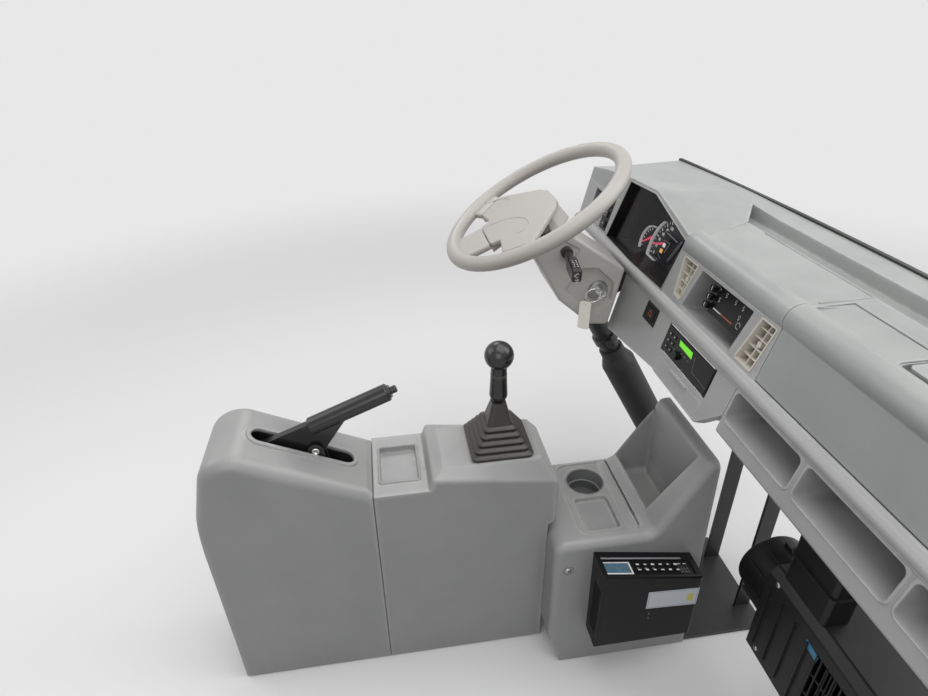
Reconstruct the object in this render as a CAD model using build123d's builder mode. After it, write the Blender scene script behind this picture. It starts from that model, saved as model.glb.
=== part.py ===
# Kei truck dashboard with its steering column, centre tower and centre console.
# Millimetres. X to the passenger side, Y to the front of the vehicle, Z up, floor at Z = 0.
import os
from math import cos, radians, sin, tan

from build123d import *

os.makedirs("parts", exist_ok=True)

# Driving dimensions: walls and clearances
wall = 3.0
tub_wall = 2.5
gap = 1.0
seat_gap = 0.3
bush_gap = 0.05

# Cross beam, its end plates and the stay under it
dash_half = 620.0
beam_y, beam_z = 270.0, 630.0
beam_r, beam_wall = 22.0, 2.0
end_plate, end_plate_t = 90.0, 6.0
end_bolt_spacing, end_bolt_r = 60.0, 4.5
tab_w, tab_t = 30.0, 16.0
pad_tabs = (-500, -320, -62, 62, 500)
pad_seat_z = 699.0
foot_t = 5.0
foot_y0, foot_y1 = -120.0, 290.0
foot_x, foot_y = 130.0, 180.0
foot_bolt_r = 5.5
stay_x, stay_w, stay_t = 62.0, 30.0, 6.0

# Sloped face of the dash, the rail under it and the roll above it
face_tilt = 13.8
rail_y, rail_z = 97.0, 624.0
face_h = 84.0
rail_low = 603.0
rail_bulge = 11.0
lower_step = 3.9
roll_r, roll_under = 24.0, 25.0
roll_x0 = -126.0
seal_z, front_y = 735.0, 372.0
front_edge_y, front_bow = 334.0, 26.0
seal_w, seal_h = 8.0, 16.0
trough_y0, trough_y1, trough_z = 249.0, 305.0, 716.0
trough_end_x0, trough_end_x1, ledge_x0 = -250.0, -165.0, -180.0

# Glove lid and bin
lid_x0, lid_x1 = 150.0, 453.0
lid_seam_y = 213.0
lid_foot, lid_sill = 2.8, 1.0
hinge_in, hinge_up, hinge_r, knuckle_r = 3.0, 6.0, 2.0, 3.0
pin_reach = 4.0
latch_at, latch_w, latch_h, latch_r = (330.0, 179.0), 80.0, 50.0, 12.0
latch_depth = 16.0

# Lower panel and shelf
corner_r = 4.0
panel_flange = 18.0
niche_depth, radio_depth, drawer_depth = 60.0, 140.0, 90.0
cluster_depth, lens_in = 70.0, 12.0
dials = [(-364, 33, 30), (-309, 38, 43)]
vent_depth, vane_in, vane_depth = 44.0, 5.0, 16.0
shelf_x0, shelf_x1, shelf_back_y, shelf_drop = 131.0, 617.0, 205.0, -96.0
pocket_low, pocket_r = 552.0, 9.0
pockets = ((137, 285), (296, 452), (463, 609))
panel_edge = [(-283, -15), (-283, -146), (-78, -119), (-70, -121), (82, -121), (130, -73), (130, -15)]

# Column and wheel
wheel_x, wheel_y, wheel_z = -319.0, -100.0, 743.0
column_tilt = 29.54
rim_r, rim_tube = 176.0, 14.5
hub_r, hub_drop, hub_bore = 28.0, 52.0, 23.0
spoke_root_w, spoke_t, spoke_root, spoke_end = 40.0, 12.0, 0.10, 0.97
shaft_r, shaft_len = 9.0, 500.0
jacket_r, jacket_wall, jacket_top = 21.0, 2.5, 70.0
boot_d0, boot_r = 380.0, 37.0
pad_drop, pad_t, pad_top = 44.0, 10.0, 2.0
shroud_half, bracket_w = 65.0, 42.0
stalk_at, stalk_boss_r, stalk_len = (-51.0, 668.0), 11.0, 98.0
lock_at, lock_r, lock_sink = (22.0, 580.0), 17.0, 9.0
key_w, key_t, key_turn = 9.0, 2.2, 60.0

# Heater under the passenger side
heater_x0, heater_x1 = 227.0, 480.0
heater_y0, heater_y1 = 150.0, 330.0
heater_z0, heater_z1 = 150.0, 334.0
grille_x, grille_w = 406.0, 118.0
duct_x, duct_y, duct_w, duct_d = 290.0, 180.0, 90.0, 44.0
blower_y, blower_z, blower_r, blower_len = 215.0, 250.0, 62.0, 78.0

# Tower and consoles
tower_half, crest_half = 118.0, 100.0
tower_y0, tower_y1 = -150.0, 118.0
deck_z, crest_z = 290.5, 430.0
slope_y, crest_y, slope_r, crest_r = 20.0, 102.0, 22.0, 14.0
bin_x0, bin_x1, bin_low, bin_y1 = -99.0, 58.0, 258.0, 97.0
tray_at, tray_w, tray_d = (35.0, -54.0), 76.0, 58.0
ridge_y0, ridge_y1 = -12.0, 8.0
deck_sink, deck_mid_x, deck_mid_y, deck_w, deck_d = 3.0, -4.0, -42.0, 176.0, 110.0
tray_depth = 8.0
box_x1, box_y0, box_y1, box_z0, box_z1 = 160.0, -83.0, 94.0, 88.0, 272.0
fin_depth, fin_pitch = 3.0, 8.0
shoulder_r = 14.0
cup_x, cup_y, cup_r, cup_depth = -46.0, -50.0, 36.0, 62.0
console_x, console_half = -18.0, 76.0
console_low, console_seam_y = 2.0, -440.0
carrier_z, carrier_t = 300.0, 2.0
carrier_y0, carrier_y1 = -685.0, -155.0
valley_z, mound_y0, mound_half = 404.0, -345.0, 53.0
well_at, well_w, well_d, well_depth = (-18.0, -396.0), 88.0, 62.0, 9.0
brake_top, brake_end_y = [(-450.0, 414.0), (-622.0, 497.0)], -714.0
brake_shoulder_r = 20.0
slot_mid, slot_len = 106.0, 170.0
gear_y, gear_top, gear_pivot_z = -226.0, 430.0, 375.0
gear_pin_r = 5.0
boot_base, boot_neck, boot_rise, boot_pleats = 104.0, 57.0, 48.0, 5
knob_z, knob_r = 600.0, 23.5
brake_pivot_y, brake_pivot_z = -526.0, 458.0
brake_pin_r, brake_rest = 5.0, 22.2
brake_arm, grip_r = 40.0, 14.5
slot_w = 30.0
rod_r, sleeve_r, sleeve_z0, sleeve_z1 = 6.0, 13.0, 523.0, 569.0
boot_top_z = 514.0
cheek_in, blade_half = 9.5, 6.0
grip_x0, grip_len, button_r, button_len = 12.0, 138.0, 6.0, 14.0
clamp_d = 340.0

face = Plane(origin=(0, rail_y, rail_z), x_dir=(1, 0, 0),
             z_dir=(0, -cos(radians(face_tilt)), sin(radians(face_tilt))))
lower_face = face.offset(lower_step)
face_top = face.from_local_coords((0, face_h, 0))
roll_y = face_top.Y + roll_r * cos(radians(roll_under))
roll_z = face_top.Z + roll_r * sin(radians(roll_under))
column = Plane(origin=(wheel_x, wheel_y, wheel_z), x_dir=(1, 0, 0),
               z_dir=(0, -sin(radians(column_tilt)), cos(radians(column_tilt))))
floor_drop = wheel_z / cos(radians(column_tilt))
column_foot_y = wheel_y + floor_drop * sin(radians(column_tilt))

# Openings in the sloped face, as (x, distance up the face) from the lower right corner round to the left
vent_left_edge = [(-88, 10), (-74, 80), (-123, 80), (-112, 13)]
vent_right_edge = [(135, 5), (146, 80), (110, 80), (92, 6)]
side_vent_left_edge = [(-504, 14), (-504, 76), (-562, 76), (-562, 14)]
side_vent_right_edge = [(562, 14), (562, 76), (504, 76), (504, 14)]
niche_edge = [(78, 4), (92, 80), (-62, 80), (-80, 4)]
switch_edge = [(-452, 6), (-446, 78), (-488, 78), (-488, 6)]
cluster_edge = [(-295, -3), (-152, 1), (-136, 100), (-290, 138), (-408, 131), (-437, 1)]


def roll_point(angle, radius=roll_r):
    return (roll_y + radius * cos(radians(angle)), roll_z + radius * sin(radians(angle)))


def face_y(z):
    return rail_y + (z - rail_z) * tan(radians(face_tilt))


def between(a, b, share):
    return (a[0] + (b[0] - a[0]) * share, a[1] + (b[1] - a[1]) * share)


# Cross beam between the door pillars
with BuildPart() as cross_beam:
    with BuildSketch(Plane.YZ.offset(-dash_half)):
        with Locations((beam_y, beam_z)):
            Circle(beam_r)
    extrude(amount=2 * dash_half)
    for side in (-dash_half - end_plate_t, dash_half):
        with BuildSketch(Plane.YZ.offset(side)):
            with Locations((beam_y, beam_z)):
                RectangleRounded(end_plate, end_plate, 8)
                with GridLocations(end_bolt_spacing, end_bolt_spacing, 2, 2):
                    Circle(end_bolt_r, mode=Mode.SUBTRACT)
        extrude(amount=end_plate_t)
    for tab_x in pad_tabs:
        with BuildSketch(Plane.XY.offset(beam_z)):
            with Locations((tab_x, beam_y)):
                Rectangle(tab_w, tab_t)
        extrude(amount=pad_seat_z - beam_z)
    with BuildSketch(Plane.YZ.offset(-dash_half)):
        with Locations((beam_y, beam_z)):
            Circle(beam_r - beam_wall)
    extrude(amount=2 * dash_half, mode=Mode.SUBTRACT)
cross_beam.part.label = "cross_beam"
export_step(cross_beam.part, "parts/cross_beam.step")

# Centre stay: foot plate on the floor and two uprights clamped under the beam
with BuildPart() as centre_stay:
    with BuildSketch(Plane.XY):
        with Locations((0, (foot_y0 + foot_y1) / 2)):
            Rectangle(2 * (tower_half - wall - seat_gap), foot_y1 - foot_y0)
        with GridLocations(foot_x, foot_y, 2, 2):
            Circle(foot_bolt_r, mode=Mode.SUBTRACT)
    extrude(amount=foot_t)
    for side in (-stay_x, stay_x):
        with BuildSketch(Plane.XY.offset(foot_t)):
            with Locations((side, beam_y)):
                Rectangle(stay_t, stay_w)
        extrude(amount=beam_z - foot_t)
    with BuildSketch(Plane.YZ.offset(-stay_x - stay_t / 2)):
        with Locations((beam_y, beam_z)):
            Circle(beam_r + 4)
            Circle(beam_r, mode=Mode.SUBTRACT)
            with Locations((0, 20)):
                Rectangle(80, 40, mode=Mode.SUBTRACT)
    extrude(amount=2 * stay_x + stay_t)
    with BuildSketch(Plane.YZ.offset(-stay_x - stay_t)):
        with Locations((beam_y, beam_z)):
            Circle(beam_r)
    extrude(amount=2 * stay_x + 2 * stay_t, mode=Mode.SUBTRACT)
centre_stay.part.label = "centre_stay"
export_step(centre_stay.part, "parts/centre_stay.step")

# Hood over the dials: rises from the sloped face and falls to the front edge.
# Table: x, height of the rear edge up the face.
hood_rear = [(-dash_half, 109), (-540, 122), (-408, 137), (-290, 144), (roll_x0, 108)]
hood_low = face_h - 24


def hood_solid(inset):
    with BuildPart() as solid:
        with BuildSketch(face.offset(-inset)):
            Polygon((-dash_half, hood_low), *hood_rear, (roll_x0, hood_low), align=None)
            if inset:
                offset(amount=-inset)
        with BuildSketch(Plane.XZ.offset(-front_y)):
            Polygon((-dash_half, rail_z + hood_low), *[(x, seal_z) for x, up in hood_rear],
                    (roll_x0, rail_z + hood_low), align=None)
            if inset:
                offset(amount=-inset)
        loft(ruled=True)
    return solid.part


# Left end of the roll, a dome that stands over the hood
with BuildPart() as roll_end:
    with Locations((roll_x0, roll_y, roll_z)):
        Sphere(roll_r)
        Sphere(roll_r - wall, mode=Mode.SUBTRACT)
    split(bisect_by=Plane.YZ.offset(roll_x0), keep=Keep.BOTTOM)
    add(hood_solid(0), mode=Mode.SUBTRACT)

# Plan of the hood's side of the pad, up to the roll's end and the slanted end of the trough
hood_plan = [(-dash_half - 20, 0), (roll_x0, 0), (roll_x0, roll_point(45)[0]),
             (trough_end_x1, trough_y0 - wall), (trough_end_x0, trough_y1),
             (ledge_x0, trough_y1), (ledge_x0, front_y + 20),
             (-dash_half - 20, front_y + 20)]

with BuildPart() as hood:
    with BuildSketch(Plane.XY.offset(face_top.Z)):
        Polygon(*hood_plan, align=None)
    extrude(amount=100)
    add(hood_solid(0), mode=Mode.INTERSECT)

with BuildPart() as hood_void:
    with BuildSketch(Plane.XY.offset(face_top.Z - 10)):
        Polygon(*hood_plan, align=None)
        offset(amount=-wall)
    extrude(amount=100)
    add(hood_solid(wall), mode=Mode.INTERSECT)

# Upper pad: hood, roll, flat top and the trough under the windscreen
with BuildPart() as dash_pad:
    with BuildSketch(Plane.YZ.offset(trough_end_x0)):
        with BuildLine():
            Polyline((front_y, seal_z), (trough_y1, seal_z + 2), (trough_y1 - 5, trough_z),
                     (trough_y0 + 5, trough_z), (trough_y0, seal_z), roll_point(45))
            ThreePointArc(roll_point(45), roll_point(135), roll_point(180 + roll_under))
            offset(amount=wall, side=Side.LEFT)
        make_face()
    extrude(amount=dash_half - trough_end_x0)
    with BuildSketch(Plane.YZ.offset(dash_half - wall)):
        with BuildLine():
            Polyline(roll_point(180 + roll_under), (front_y, face_top.Z), (front_y, seal_z),
                     (trough_y1, seal_z + 2), (trough_y0, seal_z), roll_point(45))
            ThreePointArc(roll_point(45), roll_point(135), roll_point(180 + roll_under))
        make_face()
    extrude(amount=wall)
    with BuildSketch(Plane.XY.offset(rail_z)):
        Polygon(*hood_plan, align=None)
    extrude(amount=200, mode=Mode.SUBTRACT)
    add(hood.part)
    add(hood_void.part, mode=Mode.SUBTRACT)
    add(roll_end.part)
    for tab_x in pad_tabs:
        with BuildSketch(Plane.XY.offset(pad_seat_z)):
            with Locations((tab_x, beam_y)):
                Rectangle(tab_w, tab_t)
        extrude(until=Until.NEXT)
    with BuildSketch(face.offset(10)):
        Polygon(*cluster_edge, align=None)
    extrude(amount=-cluster_depth - 10, mode=Mode.SUBTRACT)
    with BuildSketch(Plane.XY.offset(face_top.Z - 10)):
        with Locations(((lid_x0 + lid_x1) / 2, lid_seam_y / 2)):
            Rectangle(lid_x1 - lid_x0, lid_seam_y)
    extrude(amount=80, mode=Mode.SUBTRACT)
    with BuildSketch(Plane.XY.offset(rail_z)):
        with BuildLine():
            ThreePointArc((-dash_half, front_edge_y), (0, front_edge_y + front_bow),
                          (dash_half, front_edge_y))
            Polyline((dash_half, front_edge_y), (dash_half, front_y + 20), (-dash_half, front_y + 20),
                     (-dash_half, front_edge_y))
        make_face()
    extrude(amount=200, mode=Mode.SUBTRACT)
dash_pad.part.label = "dash_pad"
export_step(dash_pad.part, "parts/dash_pad.step")

# Rubber strip along the bowed front edge, against the windscreen
with BuildPart() as screen_seal:
    with BuildSketch(Plane.XY.offset(seal_z - seal_h)):
        with BuildLine():
            ThreePointArc((-dash_half, front_edge_y), (0, front_edge_y + front_bow),
                          (dash_half, front_edge_y))
            Line((dash_half, front_edge_y), (dash_half, front_edge_y + seal_w))
            ThreePointArc((dash_half, front_edge_y + seal_w), (0, front_edge_y + front_bow + seal_w),
                          (-dash_half, front_edge_y + seal_w))
            Line((-dash_half, front_edge_y + seal_w), (-dash_half, front_edge_y))
        make_face()
    extrude(amount=seal_h + 4)
screen_seal.part.label = "screen_seal"
export_step(screen_seal.part, "parts/screen_seal.step")

# Glove lid: front panel with its own stretch of roll, hinged along the lower edge
hinge_at = face.from_local_coords((0, hinge_up, -hinge_in))
lid_low = face.from_local_coords((0, lid_foot, 0))
with BuildPart() as glove_lid:
    with BuildSketch(Plane.YZ.offset(lid_x0 + gap)):
        with BuildLine():
            Polyline((lid_seam_y - gap, roll_point(45)[1]), roll_point(45))
            ThreePointArc(roll_point(45), roll_point(135), roll_point(180 + roll_under))
            Line(roll_point(180 + roll_under), (lid_low.Y, lid_low.Z))
            offset(amount=wall, side=Side.LEFT)
        make_face()
        with Locations((hinge_at.Y, hinge_at.Z)):
            Circle(knuckle_r)
    extrude(amount=lid_x1 - lid_x0 - 2 * gap)
    with BuildSketch(Plane.YZ.offset(lid_x0 - pin_reach)):
        with Locations((hinge_at.Y, hinge_at.Z)):
            Circle(hinge_r)
    extrude(amount=lid_x1 - lid_x0 + 2 * pin_reach)
    with BuildSketch(Plane.YZ.offset(lid_x0 + gap + wall)):
        Polygon((roll_y + 6, roll_z + roll_r - 2), (lid_seam_y - 10, roll_z + roll_r - 9),
                (roll_y + 12, roll_z), (face_y(rail_z + 30) + 8, rail_z + 30),
                (face_y(rail_z + 30), rail_z + 30), (face_top.Y, face_top.Z), align=None)
    extrude(amount=wall)
    mirror(about=Plane.YZ.offset((lid_x0 + lid_x1) / 2))
    with BuildSketch(Plane.XY.offset(roll_z)):
        with Locations(latch_at):
            RectangleRounded(latch_w, latch_h, latch_r)
    extrude(amount=40, mode=Mode.SUBTRACT)
glove_lid.part.label = "glove_lid"
export_step(glove_lid.part, "parts/glove_lid.step")

# Latch handle in the lid: a plate that tips over a finger recess
with BuildPart() as lid_latch:
    with BuildSketch(Plane.XY.offset(seal_z - latch_depth)):
        with Locations(latch_at):
            RectangleRounded(latch_w, latch_h, latch_r)
    extrude(amount=latch_depth - 4)
    with BuildSketch(Plane.XY.offset(seal_z - latch_depth + tub_wall)):
        with Locations(latch_at):
            RectangleRounded(latch_w, latch_h, latch_r)
            offset(amount=-tub_wall)
    extrude(amount=latch_depth, mode=Mode.SUBTRACT)
    with BuildSketch(Plane.XY.offset(seal_z - latch_depth)):
        with Locations((latch_at[0] + 3, latch_at[1] + 3)):
            RectangleRounded(latch_w - 11, latch_h - 11, latch_r - 3)
    extrude(amount=latch_depth - 1)
lid_latch.part.label = "lid_latch"
export_step(lid_latch.part, "parts/lid_latch.step")

# Glove bin behind the lid, open towards it, standing on the shelf
glove_x0, glove_x1 = lid_x0 + 2 * wall + gap + pin_reach, lid_x1 - 2 * wall - gap - pin_reach
with BuildPart() as glove_bin:
    with BuildSketch(Plane.YZ.offset(glove_x0)):
        Polygon((hinge_at.Y + 12, rail_low), (lid_seam_y + 1, rail_low),
                (lid_seam_y + 1, seal_z - 2 * wall - gap), (lid_seam_y - 34, seal_z - 16),
                (roll_y + 14, roll_z - 6), (face_top.Y + 16, face_top.Z - 6),
                (hinge_at.Y + 12, hinge_at.Z + 4), align=None)
        fillet(vertices().sort_by(Axis.Y)[-1], 10)
    extrude(amount=glove_x1 - glove_x0)
    with BuildSketch(Plane.YZ.offset(glove_x0 + tub_wall)):
        Polygon((face_y(rail_low) - 20, rail_low + tub_wall),
                (lid_seam_y + 1 - tub_wall, rail_low + tub_wall),
                (lid_seam_y + 1 - tub_wall, seal_z + 10), (face_y(rail_low) - 20, seal_z + 10),
                align=None)
    extrude(amount=glove_x1 - glove_x0 - 2 * tub_wall, mode=Mode.SUBTRACT)
glove_bin.part.label = "glove_bin"
export_step(glove_bin.part, "parts/glove_bin.step")

# Fascia: the sloped face of the dash from door to door, over a rounded rail
with BuildPart() as fascia:
    with BuildSketch(Plane.YZ.offset(-dash_half)):
        with BuildLine():
            Polyline((face_top.Y, face_top.Z), (rail_y, rail_z), (rail_y - 5, rail_z - 3))
            ThreePointArc((rail_y - 5, rail_z - 3), (rail_y - rail_bulge - 1.5, rail_z - 11),
                          (rail_y - rail_bulge, rail_low + 3))
            Line((rail_y - rail_bulge, rail_low + 3), (rail_y - rail_bulge, rail_low))
            offset(amount=wall, side=Side.LEFT)
        make_face()
    extrude(amount=2 * dash_half)
    for edge in (vent_left_edge, vent_right_edge, side_vent_left_edge, side_vent_right_edge, niche_edge,
                 switch_edge, cluster_edge):
        with BuildSketch(face):
            Polygon(*edge, align=None)
            if edge in (niche_edge, vent_left_edge, vent_right_edge):
                fillet(vertices(), corner_r)
        extrude(amount=30, both=True, mode=Mode.SUBTRACT)
    with BuildSketch(face):
        with Locations(((lid_x0 + lid_x1) / 2, face_h / 2 + lid_sill)):
            Rectangle(lid_x1 - lid_x0, face_h)
    extrude(amount=30, both=True, mode=Mode.SUBTRACT)
    for ear_x in (lid_x0 - pin_reach, lid_x1):
        with BuildSketch(Plane.YZ.offset(ear_x)):
            with Locations((hinge_at.Y, hinge_at.Z)):
                Circle(knuckle_r + 1)
            with Locations((hinge_at.Y - hinge_in / 2, hinge_at.Z)):
                Rectangle(hinge_in, 2 * knuckle_r)
            with Locations((face_y(hinge_at.Z) - 10, hinge_at.Z)):
                Rectangle(20, 60, mode=Mode.SUBTRACT)
        extrude(amount=pin_reach)
    with BuildSketch(Plane.YZ.offset(lid_x0 - 3 * pin_reach)):
        with Locations((hinge_at.Y, hinge_at.Z)):
            Circle(hinge_r + bush_gap)
    extrude(amount=lid_x1 - lid_x0 + 6 * pin_reach, mode=Mode.SUBTRACT)
fascia.part.label = "fascia"
export_step(fascia.part, "parts/fascia.step")

# Lower centre panel round the radio, with the knee panel beside the column.
# Openings on the lower face: centre as (x, distance up), width and height.
radio_at, radio_w, radio_h = (0.5, -52.5), 157.0, 51.0
drawer_at, drawer_w, drawer_h = (3.0, -101.0), 150.0, 30.0
hazard_at, hazard_w, hazard_h = (-146.0, -45.0), 46.0, 34.0

with BuildPart() as centre_panel:
    with BuildSketch(lower_face):
        Polygon(*panel_edge, align=None)
        fillet(vertices().sort_by(Axis.Y)[:4], 6)
    extrude(amount=-panel_flange)
    with BuildSketch(lower_face.offset(-wall)):
        Polygon(*panel_edge, align=None)
        fillet(vertices().sort_by(Axis.Y)[:4], 6)
        offset(amount=-wall)
    extrude(amount=-panel_flange, mode=Mode.SUBTRACT)
    with BuildSketch(lower_face.offset(-panel_flange / 2)):
        with Locations(radio_at):
            Rectangle(radio_w, radio_h)
        with Locations(drawer_at):
            Rectangle(drawer_w, drawer_h)
        with Locations(hazard_at):
            Rectangle(hazard_w, hazard_h)
    extrude(amount=panel_flange / 2, mode=Mode.SUBTRACT)
    with Locations((0, face_y(rail_low), rail_low + 50)):
        Box(2 * dash_half, 100, 100, mode=Mode.SUBTRACT)
centre_panel.part.label = "centre_panel"
export_step(centre_panel.part, "parts/centre_panel.step")

# Niche in the middle of the fascia, an open tray that also takes the heater panel
with BuildPart() as niche:
    with BuildSketch(face):
        Polygon(*niche_edge, align=None)
        fillet(vertices(), corner_r)
    extrude(amount=-niche_depth)
    with BuildSketch(face.offset(-niche_depth + tub_wall)):
        Polygon(*niche_edge, align=None)
        fillet(vertices(), corner_r)
        offset(amount=-tub_wall)
    extrude(amount=niche_depth, mode=Mode.SUBTRACT)
niche.part.label = "niche"
export_step(niche.part, "parts/niche.step")

# Heater control panel in the upper right of the niche, with three lever knobs
panel_right = (between(niche_edge[0], niche_edge[1], 0.33), between(niche_edge[0], niche_edge[1], 0.95))
heater_panel_edge = [(panel_right[0][0] - tub_wall - seat_gap, panel_right[0][1]),
                     (panel_right[1][0] - tub_wall - seat_gap, panel_right[1][1]),
                     (-4, panel_right[1][1]), (-12, panel_right[0][1])]
with BuildPart() as heater_panel:
    with BuildSketch(face.offset(-niche_depth + tub_wall)):
        Polygon(*heater_panel_edge, align=None)
        offset(amount=-3)
    extrude(amount=niche_depth - tub_wall - 14)
    with BuildSketch(face.offset(-14)):
        Polygon(*heater_panel_edge, align=None)
        fillet(vertices(), 2)
    extrude(amount=11)
    for row in range(3):
        with BuildSketch(face.offset(-14)):
            with Locations((-7 - row, heater_panel_edge[1][1] - 9 - row * 14)):
                Rectangle(16, 3)
        extrude(amount=15)
        with BuildSketch(face.offset(-4)):
            with Locations((-12 - row, heater_panel_edge[1][1] - 9 - row * 14)):
                RectangleRounded(12, 9, 2)
        extrude(amount=9)
heater_panel.part.label = "heater_panel"
export_step(heater_panel.part, "parts/heater_panel.step")

# Radio in its slot: body, gloss front, rotary knob and two columns of keys
with BuildPart() as radio:
    with BuildSketch(lower_face):
        with Locations(radio_at):
            Rectangle(radio_w, radio_h)
    extrude(amount=-radio_depth)
    with BuildSketch(lower_face):
        with Locations(radio_at):
            RectangleRounded(radio_w - 5, radio_h - 5, 3)
    extrude(amount=2, taper=20)
    with BuildSketch(lower_face):
        with Locations((radio_at[0] - 25.5, radio_at[1] - 10)):
            Circle(8)
    extrude(amount=8, taper=4)
    with BuildSketch(lower_face):
        with Locations((radio_at[0] - radio_w / 2 + 23, radio_at[1])):
            with GridLocations(14, 12, 2, 3):
                RectangleRounded(10, 7, 1.5)
    extrude(amount=3.2)
radio.part.label = "radio"
export_step(radio.part, "parts/radio.step")

# Ash drawer under the radio: a tray behind a front with a finger lip
with BuildPart() as ash_drawer:
    with BuildSketch(lower_face):
        with Locations(drawer_at):
            Rectangle(drawer_w - 2 * seat_gap, drawer_h - 2 * seat_gap)
    extrude(amount=-drawer_depth)
    with BuildSketch(lower_face.offset(-tub_wall)):
        with Locations((drawer_at[0], drawer_at[1] + tub_wall)):
            Rectangle(drawer_w - 2 * tub_wall, drawer_h)
    extrude(amount=-drawer_depth + 2 * tub_wall, mode=Mode.SUBTRACT)
    with BuildSketch(lower_face):
        with Locations((drawer_at[0], drawer_at[1] + drawer_h / 2 - 4)):
            SlotOverall(60, 4)
    extrude(amount=4)
ash_drawer.part.label = "ash_drawer"
export_step(ash_drawer.part, "parts/ash_drawer.step")

# Hazard switch: rocker in a dished frame
with BuildPart() as hazard_switch:
    with BuildSketch(lower_face.offset(1.5)):
        with Locations(hazard_at):
            Rectangle(hazard_w, hazard_h)
    extrude(amount=-30)
    with BuildSketch(lower_face.offset(1.5)):
        with Locations(hazard_at):
            RectangleRounded(hazard_w - 12, hazard_h - 10, 3)
    extrude(amount=-2, mode=Mode.SUBTRACT)
    with BuildSketch(lower_face.offset(-0.5)):
        with Locations(hazard_at):
            RectangleRounded(hazard_w - 15, hazard_h - 13, 2.5)
    extrude(amount=3, taper=12)
hazard_switch.part.label = "hazard_switch"
export_step(hazard_switch.part, "parts/hazard_switch.step")

# Instrument housing, an open tub behind the cluster opening
with BuildPart() as cluster_housing:
    with BuildSketch(face):
        Polygon(*cluster_edge, align=None)
    extrude(amount=-cluster_depth)
    with BuildSketch(face.offset(-cluster_depth + tub_wall)):
        Polygon(*cluster_edge, align=None)
        offset(amount=-tub_wall)
    extrude(amount=cluster_depth, mode=Mode.SUBTRACT)
cluster_housing.part.label = "cluster_housing"
export_step(cluster_housing.part, "parts/cluster_housing.step")

# Dial plate at the back of the housing, with two raised rings, the larger over the smaller
with BuildPart() as dial_plate:
    with BuildSketch(face.offset(-cluster_depth + tub_wall)):
        Polygon(*cluster_edge, align=None)
        offset(amount=-tub_wall - seat_gap)
    extrude(amount=4)
    for x, up, radius in dials:
        with BuildSketch(face.offset(-cluster_depth + tub_wall)):
            with Locations((x, up)):
                Circle(radius)
        extrude(amount=11)
        with BuildSketch(face.offset(-cluster_depth + tub_wall + 4)):
            with Locations((x, up)):
                Circle(radius - 2.5)
        extrude(amount=7, mode=Mode.SUBTRACT)
    with BuildSketch(face.offset(-cluster_depth + tub_wall)):
        Polygon(*cluster_edge, align=None)
        offset(amount=-tub_wall - seat_gap)
    extrude(amount=20, mode=Mode.INTERSECT)
dial_plate.part.label = "dial_plate"
export_step(dial_plate.part, "parts/dial_plate.step")

# Clear lens over the dials
with BuildPart() as cluster_lens:
    with BuildSketch(face.offset(-lens_in)):
        Polygon(*cluster_edge, align=None)
        offset(amount=-tub_wall)
    extrude(amount=-2)
cluster_lens.part.label = "cluster_lens"
export_step(cluster_lens.part, "parts/cluster_lens.step")

# Vents: a frame in the opening, cross vanes and an upright one
vents = [
    # name, edge, rows, columns
    ("vent_left", vent_left_edge, 5, 2),
    ("vent_right", vent_right_edge, 5, 2),
    ("vent_side_left", side_vent_left_edge, 5, 2),
    ("vent_side_right", side_vent_right_edge, 5, 2),
]
for name, edge, rows, columns in vents:
    low_right, top_right, top_left, low_left = edge
    with BuildPart() as vent:
        with BuildSketch(face.offset(-vent_depth)):
            Polygon(*edge, align=None)
            if edge in (vent_left_edge, vent_right_edge):
                fillet(vertices(), corner_r)
        extrude(amount=vent_depth + 1)
        with BuildSketch(face.offset(-vent_depth)):
            Polygon(*edge, align=None)
            offset(amount=-tub_wall)
        extrude(amount=vent_depth + 1, mode=Mode.SUBTRACT)
        with BuildSketch(face.offset(-vane_in - vane_depth)) as bars:
            for row in range(1, rows):
                left = between(low_left, top_left, row / rows)
                right = between(low_right, top_right, row / rows)
                Polygon((left[0], left[1] - 1), (right[0], right[1] - 1), (right[0], right[1] + 1),
                        (left[0], left[1] + 1), align=None)
            for post in range(1, columns):
                low = between(low_left, low_right, post / columns)
                top = between(top_left, top_right, post / columns)
                Polygon((low[0] - 1, low[1]), (low[0] + 1, low[1]), (top[0] + 1, top[1]),
                        (top[0] - 1, top[1]), align=None)
            middle = between(between(low_left, low_right, 0.5), between(top_left, top_right, 0.5), 0.5)
            with Locations(middle):
                Rectangle(8, 8)
        extrude(amount=vane_depth)
    vent.part.label = name
    export_step(vent.part, f"parts/{name}.step")

# Bank of three rocker switches left of the dials
with BuildPart() as switch_bank:
    with BuildSketch(face.offset(-36)):
        Polygon(*switch_edge, align=None)
    extrude(amount=37)
    for row in range(3):
        with BuildSketch(face):
            with Locations((-469, 20 + row * 22)):
                RectangleRounded(24, 17, 2)
        extrude(amount=4, taper=8)
switch_bank.part.label = "switch_bank"
export_step(switch_bank.part, "parts/switch_bank.step")

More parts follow.
